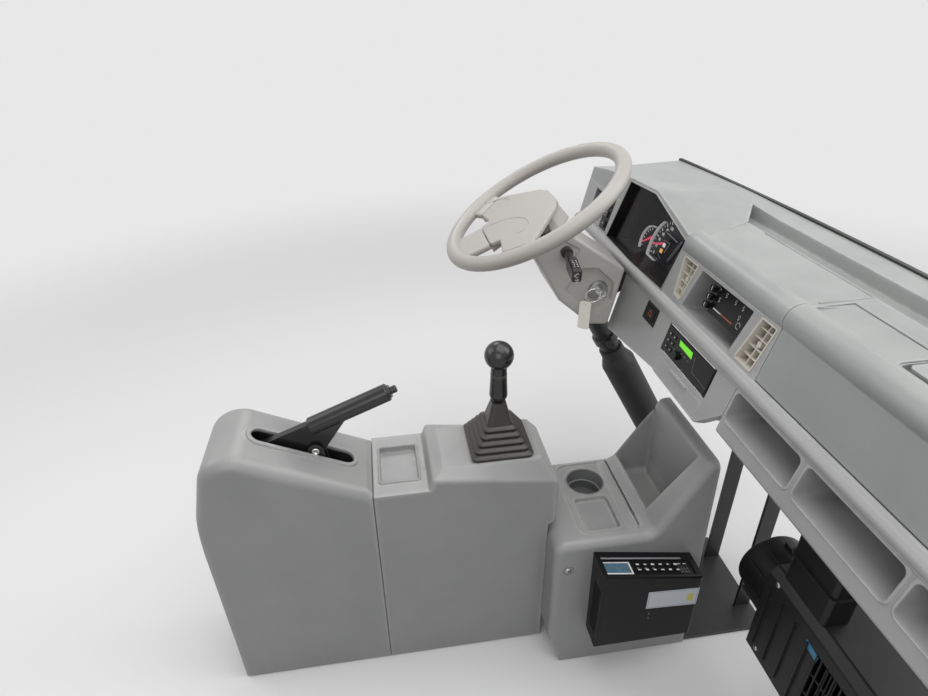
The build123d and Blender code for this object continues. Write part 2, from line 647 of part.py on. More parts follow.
# Open parcel shelf under the glove lid: a curled front with three pockets
shelf_lip = lower_face.from_local_coords((0, shelf_drop, 0))
shelf_top = lower_face.from_local_coords((0, 0, 0))
pocket_mid_z = (rail_low - tub_wall + pocket_low) / 2
pocket_rim_up = lower_face.to_local_coords(Vector(0, face_y(rail_low), pocket_mid_z)).Y
pocket_rim_h = (rail_low - tub_wall - pocket_low) / cos(radians(face_tilt))
with BuildPart() as parcel_shelf:
    with BuildSketch(Plane.YZ.offset(shelf_x0)):
        with BuildLine():
            Line((shelf_top.Y, shelf_top.Z), (shelf_lip.Y, shelf_lip.Z))
            ThreePointArc((shelf_lip.Y, shelf_lip.Z), (shelf_lip.Y + 4, shelf_lip.Z - 7),
                          (shelf_lip.Y + 12, shelf_lip.Z - 9))
            Line((shelf_lip.Y + 12, shelf_lip.Z - 9), (shelf_lip.Y + 30, shelf_lip.Z - 7))
            offset(amount=wall, side=Side.LEFT)
        make_face()
    extrude(amount=shelf_x1 - shelf_x0)
    with BuildSketch(Plane.YZ.offset(shelf_x0)):
        Polygon((shelf_top.Y, shelf_top.Z), (shelf_lip.Y + 1, shelf_lip.Z),
                (shelf_lip.Y + 28, shelf_lip.Z - 5), (shelf_back_y, pocket_low - tub_wall), (shelf_back_y, rail_low), align=None)
    extrude(amount=wall)
    mirror(about=Plane.YZ.offset((shelf_x0 + shelf_x1) / 2))
    for x0, x1 in pockets:
        with BuildSketch(Plane.XZ.offset(-shelf_back_y)):
            with Locations(((x0 + x1) / 2, (rail_low + pocket_low - tub_wall) / 2)):
                RectangleRounded(x1 - x0 + 2 * tub_wall, rail_low - pocket_low + tub_wall, pocket_r)
        extrude(amount=shelf_back_y - 50)
    split(bisect_by=lower_face, keep=Keep.BOTTOM)
    for x0, x1 in pockets:
        with BuildSketch(lower_face):
            with Locations(((x0 + x1) / 2, pocket_rim_up)):
                RectangleRounded(x1 - x0 + 8, pocket_rim_h + 8, pocket_r + 2)
        extrude(amount=1.5, taper=20)
    for x0, x1 in pockets:
        with BuildSketch(Plane.XZ.offset(-shelf_back_y + tub_wall)):
            with Locations(((x0 + x1) / 2, pocket_mid_z)):
                RectangleRounded(x1 - x0, rail_low - tub_wall - pocket_low, pocket_r)
        extrude(amount=shelf_back_y, mode=Mode.SUBTRACT)
    with Locations((0, face_y(rail_low), rail_low + 50)):
        Box(3 * dash_half, 400, 100, mode=Mode.SUBTRACT)
parcel_shelf.part.label = "parcel_shelf"
export_step(parcel_shelf.part, "parts/parcel_shelf.step")

# Front tower: side profile with a slope up to the crest, cut by the tapered front outline
def tower_solid(inset):
    with BuildPart() as solid:
        with BuildSketch(Plane.YZ.offset(-tower_half)):
            Polygon((tower_y0, 60), (tower_y0 + 22, 0), (tower_y1, 0), (tower_y1, crest_z),
                    (crest_y, crest_z), (slope_y, deck_z), (tower_y0, deck_z), align=None)
            fillet(vertices().filter_by(lambda v: abs(v.Y - deck_z) < 1), slope_r)
            fillet(vertices().filter_by(lambda v: v.Y > crest_z - 1 and v.X < tower_y1 - 1), crest_r)
            if inset:
                offset(amount=-inset)
        extrude(amount=2 * tower_half)
        with BuildSketch(Plane.XZ.offset(-tower_y1)):
            Polygon((-tower_half, 0), (tower_half, 0), (crest_half, crest_z), (-crest_half, crest_z),
                    align=None)
            if inset:
                offset(amount=-inset)
        extrude(amount=tower_y1 - tower_y0, mode=Mode.INTERSECT)
        top_edges = solid.edges().filter_by(lambda e: e.center().Z > 100 and abs(e.center().X) > 80
                                            and e.center().Y < tower_y1 - inset - 1)
        fillet(top_edges, shoulder_r - inset)
        if inset:
            with BuildSketch(Plane.XY.offset(-1)):
                Polygon((-tower_half + inset, tower_y0 + 26), (tower_half - inset, tower_y0 + 26),
                        (tower_half - inset, tower_y1 - inset), (-tower_half + inset, tower_y1 - inset),
                        align=None)
            extrude(amount=inset + 2)
            extrude(faces().sort_by(Axis.Y)[-1], amount=2 * inset)
    return solid.part


tower_body = tower_solid(0)
tower_room = tower_solid(wall)


# Pockets of the tower: sunk deck with its tray, and the deep bin in the slope
def tower_pockets(grow):
    with BuildPart() as solid:
        with BuildSketch(Plane.XY.offset(deck_z - deck_sink - grow)):
            with Locations((deck_mid_x, deck_mid_y)):
                RectangleRounded(deck_w + 2 * grow, deck_d + 2 * grow, 22 + grow)
        extrude(amount=deck_sink + 2 * grow)
        with BuildSketch(Plane.XY.offset(deck_z - deck_sink - tray_depth - grow)):
            with Locations(tray_at):
                RectangleRounded(tray_w + 2 * grow, tray_d + 2 * grow, 6 + grow)
        extrude(amount=tray_depth + grow, taper=-8)
        with BuildSketch(Plane.XZ.offset(-bin_y1 - 20)):
            Polygon((bin_x0 + 8, bin_low), (bin_x1 - 8, bin_low), (bin_x1 + 10, crest_z + 10),
                    (bin_x0 - 4, crest_z + 10), align=None)
            fillet(vertices().group_by(Axis.Y)[0], 12)
            if grow:
                offset(amount=grow)
        extrude(amount=120)
        with BuildSketch(Plane.YZ.offset(-tower_half)):
            Polygon((slope_y + 30, bin_low), (bin_y1 - 5, bin_low), (bin_y1, bin_low + 30),
                    (bin_y1, crest_z + 40), (slope_y - 10, crest_z + 40), (slope_y - 10, deck_z + 15),
                    (slope_y + 10, deck_z + 10), align=None)
            Polygon((tower_y0, deck_z - 60), (slope_y - 11, deck_z - 60), (slope_y - 11, deck_z + 15),
                    (tower_y0, deck_z + 15), align=None)
            if grow:
                offset(amount=grow)
        extrude(amount=2 * tower_half, mode=Mode.INTERSECT)
    return solid.part


with BuildPart() as tower_void:
    add(tower_solid(wall))
    add(tower_pockets(wall), mode=Mode.SUBTRACT)

with BuildPart() as front_console:
    add(tower_body)
    add(tower_void.part, mode=Mode.SUBTRACT)
    add(tower_pockets(0), mode=Mode.SUBTRACT)
    with BuildSketch(Plane.XY.offset(deck_z - 3 * wall)):
        with Locations((cup_x, cup_y)):
            Circle(cup_r)
    extrude(amount=4 * wall, mode=Mode.SUBTRACT)
    with BuildSketch(Plane.YZ.offset(deck_mid_x - deck_w / 2)):
        Polygon((ridge_y0, deck_z - deck_sink), (ridge_y1, deck_z - deck_sink), (ridge_y1 - 5, deck_z + 2),
                (ridge_y0 + 4, deck_z), align=None)
    extrude(amount=deck_w)
front_console.part.label = "front_console"
export_step(front_console.part, "parts/front_console.step")

# Cup holder let into the deck
cup_low = deck_z - cup_depth
with BuildPart() as cup_holder:
    with BuildSketch(Plane(origin=(cup_x, cup_y, 0), x_dir=(1, 0, 0), z_dir=(0, -1, 0))):
        with BuildLine():
            Polyline((0, cup_low), (cup_r - 6, cup_low), (cup_r - seat_gap, cup_low + 12),
                     (cup_r - seat_gap, deck_z - deck_sink), (cup_r - tub_wall, deck_z - deck_sink),
                     (cup_r - tub_wall, cup_low + 13), (cup_r - 8, cup_low + tub_wall),
                     (0, cup_low + tub_wall), close=True)
        make_face()
    revolve(axis=Axis((cup_x, cup_y, 0), (0, 0, 1)))
    with BuildSketch(Plane.XY.offset(deck_z - cup_depth / 2)):
        with Locations((cup_x, cup_y)):
            Circle(cup_r - 1)
            Circle(cup_r - 6, mode=Mode.SUBTRACT)
    extrude(amount=3)
cup_holder.part.label = "cup_holder"
export_step(cup_holder.part, "parts/cup_holder.step")

# Control box on the tower's right side, with a sloped key panel on top and fins on its rear end
with BuildPart() as control_box:
    with BuildSketch(Plane.YZ.offset(crest_half)):
        Polygon((box_y0, box_z0), (box_y1, box_z0), (box_y1, box_z1 - 32), (box_y0, box_z1), align=None)
    extrude(amount=box_x1 - crest_half)
    fillet(control_box.edges().group_by(Axis.X)[-1], 5)
    panel_plane = Plane(origin=(box_x1, box_y0, box_z1), x_dir=(0, box_y1 - box_y0, -32),
                        z_dir=Vector(0, 32, box_y1 - box_y0))
    with BuildSketch(panel_plane):
        with Locations(((box_y1 - box_y0) / 2, 20)):
            RectangleRounded(box_y1 - box_y0 - 16, 30, 3)
    extrude(amount=-2, mode=Mode.SUBTRACT)
    with BuildSketch(panel_plane.offset(-2)):
        with Locations((box_y1 - box_y0 - 74, 20)):
            with GridLocations(14, 11, 6, 2):
                RectangleRounded(8, 5, 1)
    extrude(amount=3)
    with BuildSketch(Plane.XZ.offset(-box_y0 - fin_depth)):
        with Locations(((tower_half + box_x1) / 2, (box_z0 + box_z1) / 2 - 8)):
            with GridLocations(0, fin_pitch, 1, 14):
                Rectangle(box_x1 - tower_half - 14, fin_pitch / 2)
    extrude(amount=2 * fin_depth, mode=Mode.SUBTRACT)
    add(tower_body, mode=Mode.SUBTRACT)
control_box.part.label = "control_box"
export_step(control_box.part, "parts/control_box.step")

# Sheet carrier under the consoles, standing on the floor
with BuildPart() as console_carrier:
    with BuildSketch(Plane.XY):
        with Locations((console_x, (carrier_y0 + carrier_y1) / 2)):
            Rectangle(2 * (console_half - wall), carrier_y1 - carrier_y0)
    extrude(amount=carrier_z)
    with BuildSketch(Plane.XY):
        with Locations((console_x, (carrier_y0 + carrier_y1) / 2)):
            Rectangle(2 * (console_half - wall - carrier_t), carrier_y1 - carrier_y0 + 2)
    extrude(amount=carrier_z - carrier_t, mode=Mode.SUBTRACT)
    with BuildSketch(Plane.YZ.offset(console_x - console_half)):
        with Locations(((carrier_y0 + carrier_y1) / 2, carrier_z / 2)):
            with GridLocations(130, 0, 4, 1):
                RectangleRounded(80, carrier_z - 120, 18)
    extrude(amount=2 * console_half, mode=Mode.SUBTRACT)
console_carrier.part.label = "console_carrier"
export_step(console_carrier.part, "parts/console_carrier.step")


# Gear lever console: box with a falling shoulder line and a flat-topped mound
def gear_solid(inset):
    nose_y = tower_y0 + 12
    with BuildPart() as solid:
        with BuildSketch(Plane.YZ.offset(console_x - console_half + inset)):
            Polygon((console_seam_y, console_low), (console_seam_y, valley_z),
                    (mound_y0 - 7, valley_z), (mound_y0, gear_top - 6), (nose_y, gear_top - 36),
                    (nose_y, deck_z + 15), (tower_y0, deck_z + 6), (tower_y0, console_low), align=None)
            if inset:
                offset(amount=-inset)
        extrude(amount=2 * (console_half - inset))
        shoulder = Plane(origin=(console_x, mound_y0, gear_top - 6), x_dir=(1, 0, 0),
                         z_dir=Vector(0, 30, nose_y - mound_y0))
        length = Vector(0, nose_y - mound_y0, -30).length
        with BuildSketch(shoulder.offset(-inset)):
            with Locations((0, length / 2)):
                Rectangle(2 * (console_half - inset), length - 2 * inset)
        with BuildSketch(Plane.XY.offset(gear_top - inset)):
            with Locations((console_x, (mound_y0 + nose_y) / 2 - 2)):
                Rectangle(2 * (mound_half - inset), nose_y - mound_y0 - 44 - 2 * inset)
        loft(ruled=True)
    return solid.part


with BuildPart() as gear_console:
    add(gear_solid(0))
    fillet(gear_console.edges().filter_by(
        lambda e: gear_top - 40 < e.center().Z < gear_top - 0.5 and e.center().Y > mound_y0 - 4), 7)
    add(gear_solid(wall), mode=Mode.SUBTRACT)
    with Locations((console_x, console_seam_y, carrier_z / 2)):
        Box(2 * (console_half - wall), 4 * wall, carrier_z, mode=Mode.SUBTRACT)
    with Locations((console_x, (console_seam_y + tower_y0) / 2, console_low)):
        Box(2 * (console_half - wall), tower_y0 - console_seam_y - 2 * wall, 3 * wall, mode=Mode.SUBTRACT)
    with BuildSketch(Plane.XY.offset(valley_z)):
        with Locations(well_at):
            RectangleRounded(well_w + 2 * wall, well_d + 2 * wall, 5)
    extrude(amount=-well_depth - wall)
    with BuildSketch(Plane.XY.offset(valley_z + 2)):
        with Locations(well_at):
            RectangleRounded(well_w + 2 * wall, well_d + 2 * wall, 5)
    extrude(amount=-4)
    with BuildSketch(Plane.XY.offset(valley_z + 2)):
        with Locations(well_at):
            RectangleRounded(well_w, well_d, 3)
    extrude(amount=-well_depth - 2, mode=Mode.SUBTRACT)
    with BuildSketch(Plane.XY.offset(gear_top)):
        with Locations((console_x, gear_y)):
            RectangleRounded(boot_base - 8, boot_base - 8, 10)
    extrude(amount=20, both=True, mode=Mode.SUBTRACT)
gear_console.part.label = "gear_console"
export_step(gear_console.part, "parts/gear_console.step")


# Handbrake console: top rises to the rear, rounds over and falls
def brake_solid(inset):
    with BuildPart() as solid:
        with BuildSketch(Plane.YZ.offset(console_x - console_half + inset)):
            with BuildLine():
                Polyline(brake_top[1], brake_top[0], (console_seam_y - gap, brake_top[0][1] - 9),
                         (console_seam_y - gap, console_low), (brake_end_y + 8, console_low),
                         (brake_end_y, brake_top[1][1] - 100), (brake_end_y + 16, brake_top[1][1] - 32))
                ThreePointArc((brake_end_y + 16, brake_top[1][1] - 32),
                              (brake_top[1][0] - 46, brake_top[1][1] + 3), brake_top[1])
            make_face()
            if inset:
                offset(amount=-inset)
        extrude(amount=2 * (console_half - inset))
        top_edges = solid.edges().filter_by(
            lambda e: abs(e.center().X - console_x) > console_half - inset - 1
            and e.center().Z > console_low + 260 and e.center().Y < brake_top[0][0] - 5)
        fillet(top_edges, brake_shoulder_r - inset)
    return solid.part


slope = Plane(origin=(console_x, brake_top[0][0], brake_top[0][1]), x_dir=(1, 0, 0),
              z_dir=Vector(0, brake_top[1][1] - brake_top[0][1], brake_top[0][0] - brake_top[1][0]))
with BuildPart() as brake_console:
    add(brake_solid(0))
    add(brake_solid(wall), mode=Mode.SUBTRACT)
    with Locations((console_x, console_seam_y, carrier_z / 2)):
        Box(2 * (console_half - wall), 8 * wall, carrier_z, mode=Mode.SUBTRACT)
    with Locations((console_x, (console_seam_y + brake_end_y) / 2, console_low)):
        Box(2 * (console_half - wall), console_seam_y - brake_end_y - 24, 3 * wall, mode=Mode.SUBTRACT)
    with BuildSketch(slope.offset(-wall)):
        with Locations((0, -slot_mid)):
            SlotOverall(slot_len + 14, slot_w + 14, rotation=90)
    extrude(amount=wall + 3)
    with BuildSketch(slope):
        with Locations((0, -slot_mid)):
            SlotOverall(slot_len, slot_w, rotation=90)
    extrude(amount=30, both=True, mode=Mode.SUBTRACT)
brake_console.part.label = "brake_console"
export_step(brake_console.part, "parts/brake_console.step")

# Gear lever housing on the carrier
with BuildPart() as gear_housing:
    with BuildSketch(Plane.XY.offset(carrier_z)):
        with Locations((console_x, gear_y)):
            RectangleRounded(90, 90, 12)
    extrude(amount=8)
    for side in (-1, 1):
        with BuildSketch(Plane.YZ.offset(console_x + side * 16)):
            Polygon((gear_y - 26, carrier_z), (gear_y + 26, carrier_z), (gear_y + 12, gear_pivot_z + 12),
                    (gear_y - 12, gear_pivot_z + 12), align=None)
            fillet(vertices().group_by(Axis.Y)[-1], 8)
        extrude(amount=side * 8)
    with BuildSketch(Plane.YZ.offset(console_x - 30)):
        with Locations((gear_y, gear_pivot_z)):
            Circle(gear_pin_r + bush_gap)
    extrude(amount=60, mode=Mode.SUBTRACT)
gear_housing.part.label = "gear_housing"
export_step(gear_housing.part, "parts/gear_housing.step")

# Gear lever: rod, sleeve and knob turned as one profile, with a cross pin
lever_axis = Axis((console_x, gear_y, 0), (0, 0, 1))
with BuildPart() as gear_lever:
    with BuildSketch(Plane(origin=lever_axis.position, x_dir=(1, 0, 0), z_dir=(0, -1, 0))):
        with BuildLine():
            knob_foot = knob_z - (knob_r ** 2 - sleeve_r ** 2) ** 0.5
            Polyline((0, gear_pivot_z - 11), (9, gear_pivot_z - 11), (11, gear_pivot_z), (9, gear_pivot_z + 11),
                     (rod_r, gear_pivot_z + 14), (rod_r, sleeve_z0), (sleeve_r + 1, sleeve_z0),
                     (sleeve_r + 2, sleeve_z0 + 4), (sleeve_r, sleeve_z1), (sleeve_r, knob_foot))
            ThreePointArc((sleeve_r, knob_foot), (knob_r, knob_z), (0, knob_z + knob_r))
            Line((0, knob_z + knob_r), (0, gear_pivot_z - 11))
        make_face()
    revolve(axis=lever_axis)
    with BuildSketch(Plane.YZ.offset(console_x - 25)):
        with Locations((gear_y, gear_pivot_z)):
            Circle(gear_pin_r)
    extrude(amount=50)
gear_lever.part.label = "gear_lever"
export_step(gear_lever.part, "parts/gear_lever.step")


# Pleated boot round the lever: each pleat swells out from one groove and back to the next
def boot_solid(inset):
    pitch = boot_rise / boot_pleats
    with BuildPart() as solid:
        for step in range(boot_pleats):
            crest = boot_base - (boot_base - boot_neck) * step / (boot_pleats - 1) - 2 * inset
            low = gear_top + step * pitch
            for z0, z1, w0, w1 in ((low, low + 0.55 * pitch, crest - 3, crest),
                                   (low + 0.55 * pitch, low + pitch, crest, crest - 16)):
                with BuildSketch(Plane.XY.offset(z0)):
                    with Locations((console_x, gear_y)):
                        RectangleRounded(w0, w0, 9)
                with BuildSketch(Plane.XY.offset(z1)):
                    with Locations((console_x, gear_y)):
                        RectangleRounded(w1, w1, 9)
                loft()
        top = gear_top + boot_rise
        with BuildSketch(Plane.XY.offset(top - 0.5)):
            with Locations((console_x, gear_y)):
                RectangleRounded(boot_neck - 14 - 2 * inset, boot_neck - 14 - 2 * inset, 7)
        with BuildSketch(Plane.XY.offset(boot_top_z - inset)):
            with Locations((console_x, gear_y)):
                RectangleRounded(24 - 2 * inset, 24 - 2 * inset, 7)
        loft()
    return solid.part


with BuildPart() as gear_boot:
    add(boot_solid(0))
    add(boot_solid(1.5), mode=Mode.SUBTRACT)
    with BuildSketch(Plane.XY.offset(gear_top)):
        with Locations((console_x, gear_y)):
            Circle(rod_r + seat_gap)
    extrude(amount=150, mode=Mode.SUBTRACT)
gear_boot.part.label = "gear_boot"
export_step(gear_boot.part, "parts/gear_boot.step")

# Handbrake bracket on the carrier, with the toothed quadrant between its cheeks
with BuildPart() as brake_bracket:
    with BuildSketch(Plane.XY.offset(carrier_z)):
        with Locations((console_x, brake_pivot_y)):
            Rectangle(60, 150)
    extrude(amount=6)
    for side in (-1, 1):
        with BuildSketch(Plane.YZ.offset(console_x + side * cheek_in)):
            with BuildLine():
                Polyline((brake_pivot_y + 12, brake_pivot_z), (brake_pivot_y + 36, carrier_z),
                         (brake_pivot_y - 36, carrier_z), (brake_pivot_y - 12, brake_pivot_z))
                ThreePointArc((brake_pivot_y - 12, brake_pivot_z), (brake_pivot_y, brake_pivot_z + 12),
                              (brake_pivot_y + 12, brake_pivot_z))
            make_face()
        extrude(amount=side * 3)
    with BuildSketch(Plane.YZ.offset(console_x - 20)):
        with Locations((brake_pivot_y, brake_pivot_z)):
            Circle(brake_pin_r + bush_gap)
    extrude(amount=40, mode=Mode.SUBTRACT)
brake_bracket.part.label = "brake_bracket"
export_step(brake_bracket.part, "parts/brake_bracket.step")

# Handbrake lever: pressed blade round the pivot, tube grip, collar and release button
lever = Plane(origin=(console_x, brake_pivot_y, brake_pivot_z), x_dir=(0, cos(radians(brake_rest)), sin(radians(brake_rest))),
              z_dir=(1, 0, 0))
grip_start = Plane(origin=lever.from_local_coords((grip_x0, brake_arm, 0)), x_dir=(1, 0, 0),
                   z_dir=(0, cos(radians(brake_rest)), sin(radians(brake_rest))))
with BuildPart() as brake_lever:
    with BuildSketch(lever.offset(-blade_half)):
        Polygon((12, -8), (grip_x0 + 62, brake_arm - 8), (grip_x0 + 62, brake_arm + 8), (-70, brake_arm + 9),
                (-78, brake_arm - 2), (-14, 2), (-10, -12), (4, -14), align=None)
        fillet(vertices().filter_by(lambda v: v.X < grip_x0 + 60), 5)
    extrude(amount=2 * blade_half)
    with BuildSketch(lever.offset(-cheek_in - 3.5)):
        Circle(brake_pin_r)
    extrude(amount=2 * cheek_in + 7)
    with BuildSketch(grip_start):
        Circle(grip_r)
    extrude(amount=grip_len)
    fillet(brake_lever.edges().filter_by(GeomType.CIRCLE).filter_by(
        lambda e: abs(e.radius - grip_r) < 0.01), 3)
    with BuildSketch(grip_start.offset(grip_len - 1)):
        Circle(grip_r - 4)
    extrude(amount=4)
    with BuildSketch(grip_start.offset(grip_len)):
        Circle(button_r)
    extrude(amount=button_len)
    fillet(brake_lever.edges().filter_by(GeomType.CIRCLE).filter_by(
        lambda e: abs(e.radius - button_r) < 0.01).sort_by(Axis.Y)[-1], 2)
    with BuildSketch(lever.offset(blade_half)):
        with Locations((grip_x0 + 22, brake_arm - 20)):
            RectangleRounded(22, 12, 3)
    extrude(amount=-2 * blade_half)
brake_lever.part.label = "brake_lever"
export_step(brake_lever.part, "parts/brake_lever.step")

# Steering column jacket down to its foot on the floor
with BuildPart() as column_jacket:
    with BuildSketch(column.offset(-jacket_top)):
        Circle(jacket_r)
        Circle(jacket_r - jacket_wall, mode=Mode.SUBTRACT)
    extrude(amount=-(floor_drop - jacket_top + 20))
    for depth in (jacket_top, jacket_top + shaft_len - 120):
        with BuildSketch(column.offset(-depth)):
            Circle(jacket_r - jacket_wall)
            Circle(shaft_r + bush_gap, mode=Mode.SUBTRACT)
        extrude(amount=-20)
    with BuildSketch(column.offset(-clamp_d)):
        Circle(jacket_r + 5)
        with Locations((jacket_r + 6, 0)):
            Rectangle(16, 14)
        Circle(jacket_r, mode=Mode.SUBTRACT)
    extrude(amount=-18)
    with BuildSketch(Plane.XY):
        with Locations((wheel_x, column_foot_y)):
            RectangleRounded(120, 140, 10)
            Rectangle(jacket_r * 2 - 6, jacket_r * 2, mode=Mode.SUBTRACT)
    extrude(amount=6)
    with Locations((wheel_x, column_foot_y, -30)):
        Box(200, 200, 60, mode=Mode.SUBTRACT)
column_jacket.part.label = "column_jacket"
export_step(column_jacket.part, "parts/column_jacket.step")

# Rubber boot over the lower end of the column, with three rolls at its foot
boot_end = floor_drop - 40
with BuildPart() as column_boot:
    with BuildSketch(Plane(origin=column.origin, x_dir=column.x_dir, z_dir=-column.y_dir)):
        with BuildLine():
            Polyline((jacket_r, -boot_d0), (jacket_r + 5, -boot_d0), (jacket_r + 6, -boot_d0 - 20),
                     (boot_r, -boot_d0 - 44), (boot_r, -boot_end + 90))
            for roll in range(3):
                ThreePointArc((boot_r, -boot_end + 90 - roll * 24), (boot_r + 8, -boot_end + 78 - roll * 24),
                              (boot_r, -boot_end + 66 - roll * 24))
            Polyline((boot_r, -boot_end + 18), (boot_r, -boot_end), (boot_r - wall, -boot_end),
                     (boot_r - wall, -boot_d0 - 45), (jacket_r, -boot_d0 - 26), (jacket_r, -boot_d0))
        make_face()
    revolve(axis=Axis(column.origin, column.z_dir))
column_boot.part.label = "column_boot"
export_step(column_boot.part, "parts/column_boot.step")

# Steering shaft
with BuildPart() as steering_shaft:
    with BuildSketch(column.offset(-hub_drop + hub_bore)):
        Circle(shaft_r)
    extrude(amount=-shaft_len)
steering_shaft.part.label = "steering_shaft"
export_step(steering_shaft.part, "parts/steering_shaft.step")

# Steering wheel: rim, hub and three wide spokes. Each spoke runs under the pad to a shoulder
# at the pad's edge, and on from there to the rim.
# Table: angle, distance out to the shoulder, width at the shoulder, width at the rim.
spokes = [(210, 141, 62, 66), (270, 110, 94, 90), (330, 141, 62, 66)]
with BuildPart() as steering_wheel:
    with BuildSketch(Plane(origin=column.origin, x_dir=column.x_dir, z_dir=-column.y_dir)):
        with Locations((rim_r, 0)):
            Ellipse(rim_tube, rim_tube * 0.93)
    revolve(axis=Axis(column.origin, column.z_dir))
    with BuildSketch(column.offset(-hub_drop)):
        Circle(hub_r)
    extrude(amount=hub_drop - pad_t - seat_gap)
    for angle, shoulder, shoulder_w, rim_w in spokes:
        out = Vector(cos(radians(angle)), sin(radians(angle)), 0)
        across = column.from_local_coords(Vector(-out.Y, out.X, 0)) - column.origin
        along = column.from_local_coords(out) - column.origin
        stretches = [
            # from, width, top below the rim's plane, to, width, top
            (rim_r * spoke_root, spoke_root_w, pad_t + seat_gap, shoulder, shoulder_w, pad_t + seat_gap),
            (shoulder, shoulder_w, pad_top + 0.5, rim_r * spoke_end, rim_w, -2),
        ]
        for near, near_w, near_top, far, far_w, far_top in stretches:
            for distance, width, top in ((near, near_w, near_top), (far, far_w, far_top)):
                at = column.from_local_coords(out * distance - Vector(0, 0, top + spoke_t / 2))
                with BuildSketch(Plane(origin=at, x_dir=across, z_dir=along)):
                    RectangleRounded(width, spoke_t, spoke_t * 0.35)
            loft(ruled=True)
    with BuildSketch(column.offset(-hub_drop)):
        Circle(shaft_r)
    extrude(amount=hub_bore, mode=Mode.SUBTRACT)
steering_wheel.part.label = "steering_wheel"
export_step(steering_wheel.part, "parts/steering_wheel.step")

# Padded cover of the wheel: a plate that ends at the spokes' shoulders, over a hollow core
pad_core = [(-34, 38), (34, 38), (60, 14), (76, -42), (56, -70), (-56, -70), (-76, -42), (-60, 14)]
pad_face = [(-30, 38), (30, 38), (56, 28), (137, -43), (106, -96.5), (53, -89), (47, -109),
            (-47, -109), (-53, -89), (-106, -96.5), (-137, -43), (-56, 28)]
with BuildPart() as wheel_pad:
    for depth, grow in ((pad_drop, 5), (pad_t - 4, -3)):
        with BuildSketch(column.offset(-depth)):
            Polygon(*pad_core, align=None)
            fillet(vertices(), 12)
            offset(amount=grow)
    loft()
    with BuildSketch(column.offset(-pad_t)):
        Polygon(*pad_face, align=None)
        fillet(vertices(), 8)
    extrude(amount=pad_t - pad_top)
    fillet(wheel_pad.faces().sort_by(Axis(column.origin, column.z_dir))[-1].edges(), 3)
    for depth, grow in ((pad_drop, 5 - wall), (pad_t, -3 - wall)):
        with BuildSketch(column.offset(-depth)):
            Polygon(*pad_core, align=None)
            fillet(vertices(), 12)
            offset(amount=grow)
    loft(mode=Mode.SUBTRACT)
    for angle, shoulder, shoulder_w, rim_w in spokes:
        out = Vector(cos(radians(angle)), sin(radians(angle)), 0)
        with BuildSketch(Plane(origin=column.from_local_coords(out * 20 - Vector(0, 0, pad_t + pad_drop)),
                               x_dir=column.from_local_coords(Vector(-out.Y, out.X, 0)) - column.origin,
                               z_dir=column.from_local_coords(out) - column.origin)):
            Rectangle(shoulder_w + 3, 2 * pad_drop)
        extrude(amount=shoulder, mode=Mode.SUBTRACT)
wheel_pad.part.label = "wheel_pad"
export_step(wheel_pad.part, "parts/wheel_pad.step")

# Shroud round the top of the column: a rounded shell with a sunk panel round the lock
shroud_side = [(-113, 661), (-97, 672), (-43, 701), (71, 624), (58, 557), (47, 505), (9, 509), (-58, 567),
               (-85, 616)]
lock_panel = [(-50, 592), (-17, 634), (16, 632), (52, 598), (50, 560), (25, 530), (-24, 561)]
shroud_right = Plane.YZ.offset(wheel_x + shroud_half)
with BuildPart() as shroud:
    with BuildSketch(Plane.YZ.offset(wheel_x - shroud_half)):
        Polygon(*shroud_side, align=None)
        fillet(vertices(), 9)
    extrude(amount=2 * shroud_half)
    fillet(shroud.edges().filter_by(lambda e: abs(abs(e.center().X - wheel_x) - shroud_half) < 0.1), 6)
    with BuildSketch(Plane.YZ.offset(wheel_x - shroud_half + wall)):
        Polygon(*shroud_side, align=None)
        fillet(vertices(), 9)
        offset(amount=-wall)
    extrude(amount=2 * (shroud_half - wall), mode=Mode.SUBTRACT)
    with BuildSketch(shroud_right.offset(-lock_sink - wall)):
        Polygon(*lock_panel, align=None)
        fillet(vertices(), 8)
    extrude(amount=lock_sink + wall / 2)
    with BuildSketch(shroud_right.offset(-lock_sink)):
        Polygon(*lock_panel, align=None)
        fillet(vertices(), 8)
        offset(amount=-wall)
    extrude(amount=lock_sink + 1, taper=-12, mode=Mode.SUBTRACT)
    with BuildSketch(shroud_right.offset(-lock_sink - wall - 1)):
        with Locations(lock_at):
            Circle(lock_r)
    extrude(amount=lock_sink, mode=Mode.SUBTRACT)
    for side in (-1, 1):
        with BuildSketch(Plane.YZ.offset(wheel_x + side * shroud_half)):
            with Locations(Location(stalk_at, -30)):
                RectangleRounded(44, 34, 5)
        extrude(amount=-side * 1.5, mode=Mode.SUBTRACT)
        with BuildSketch(Plane.YZ.offset(wheel_x + side * shroud_half)):
            with Locations(stalk_at):
                Circle(stalk_boss_r)
        extrude(amount=-side * 2 * wall, mode=Mode.SUBTRACT)
    with BuildSketch(column):
        Circle(jacket_r)
    extrude(amount=-400, mode=Mode.SUBTRACT)
    with Locations((wheel_x, 85, 565)):
        Box(bracket_w + 2 * gap, 110, 74, mode=Mode.SUBTRACT)
shroud.part.label = "shroud"
export_step(shroud.part, "parts/shroud.step")

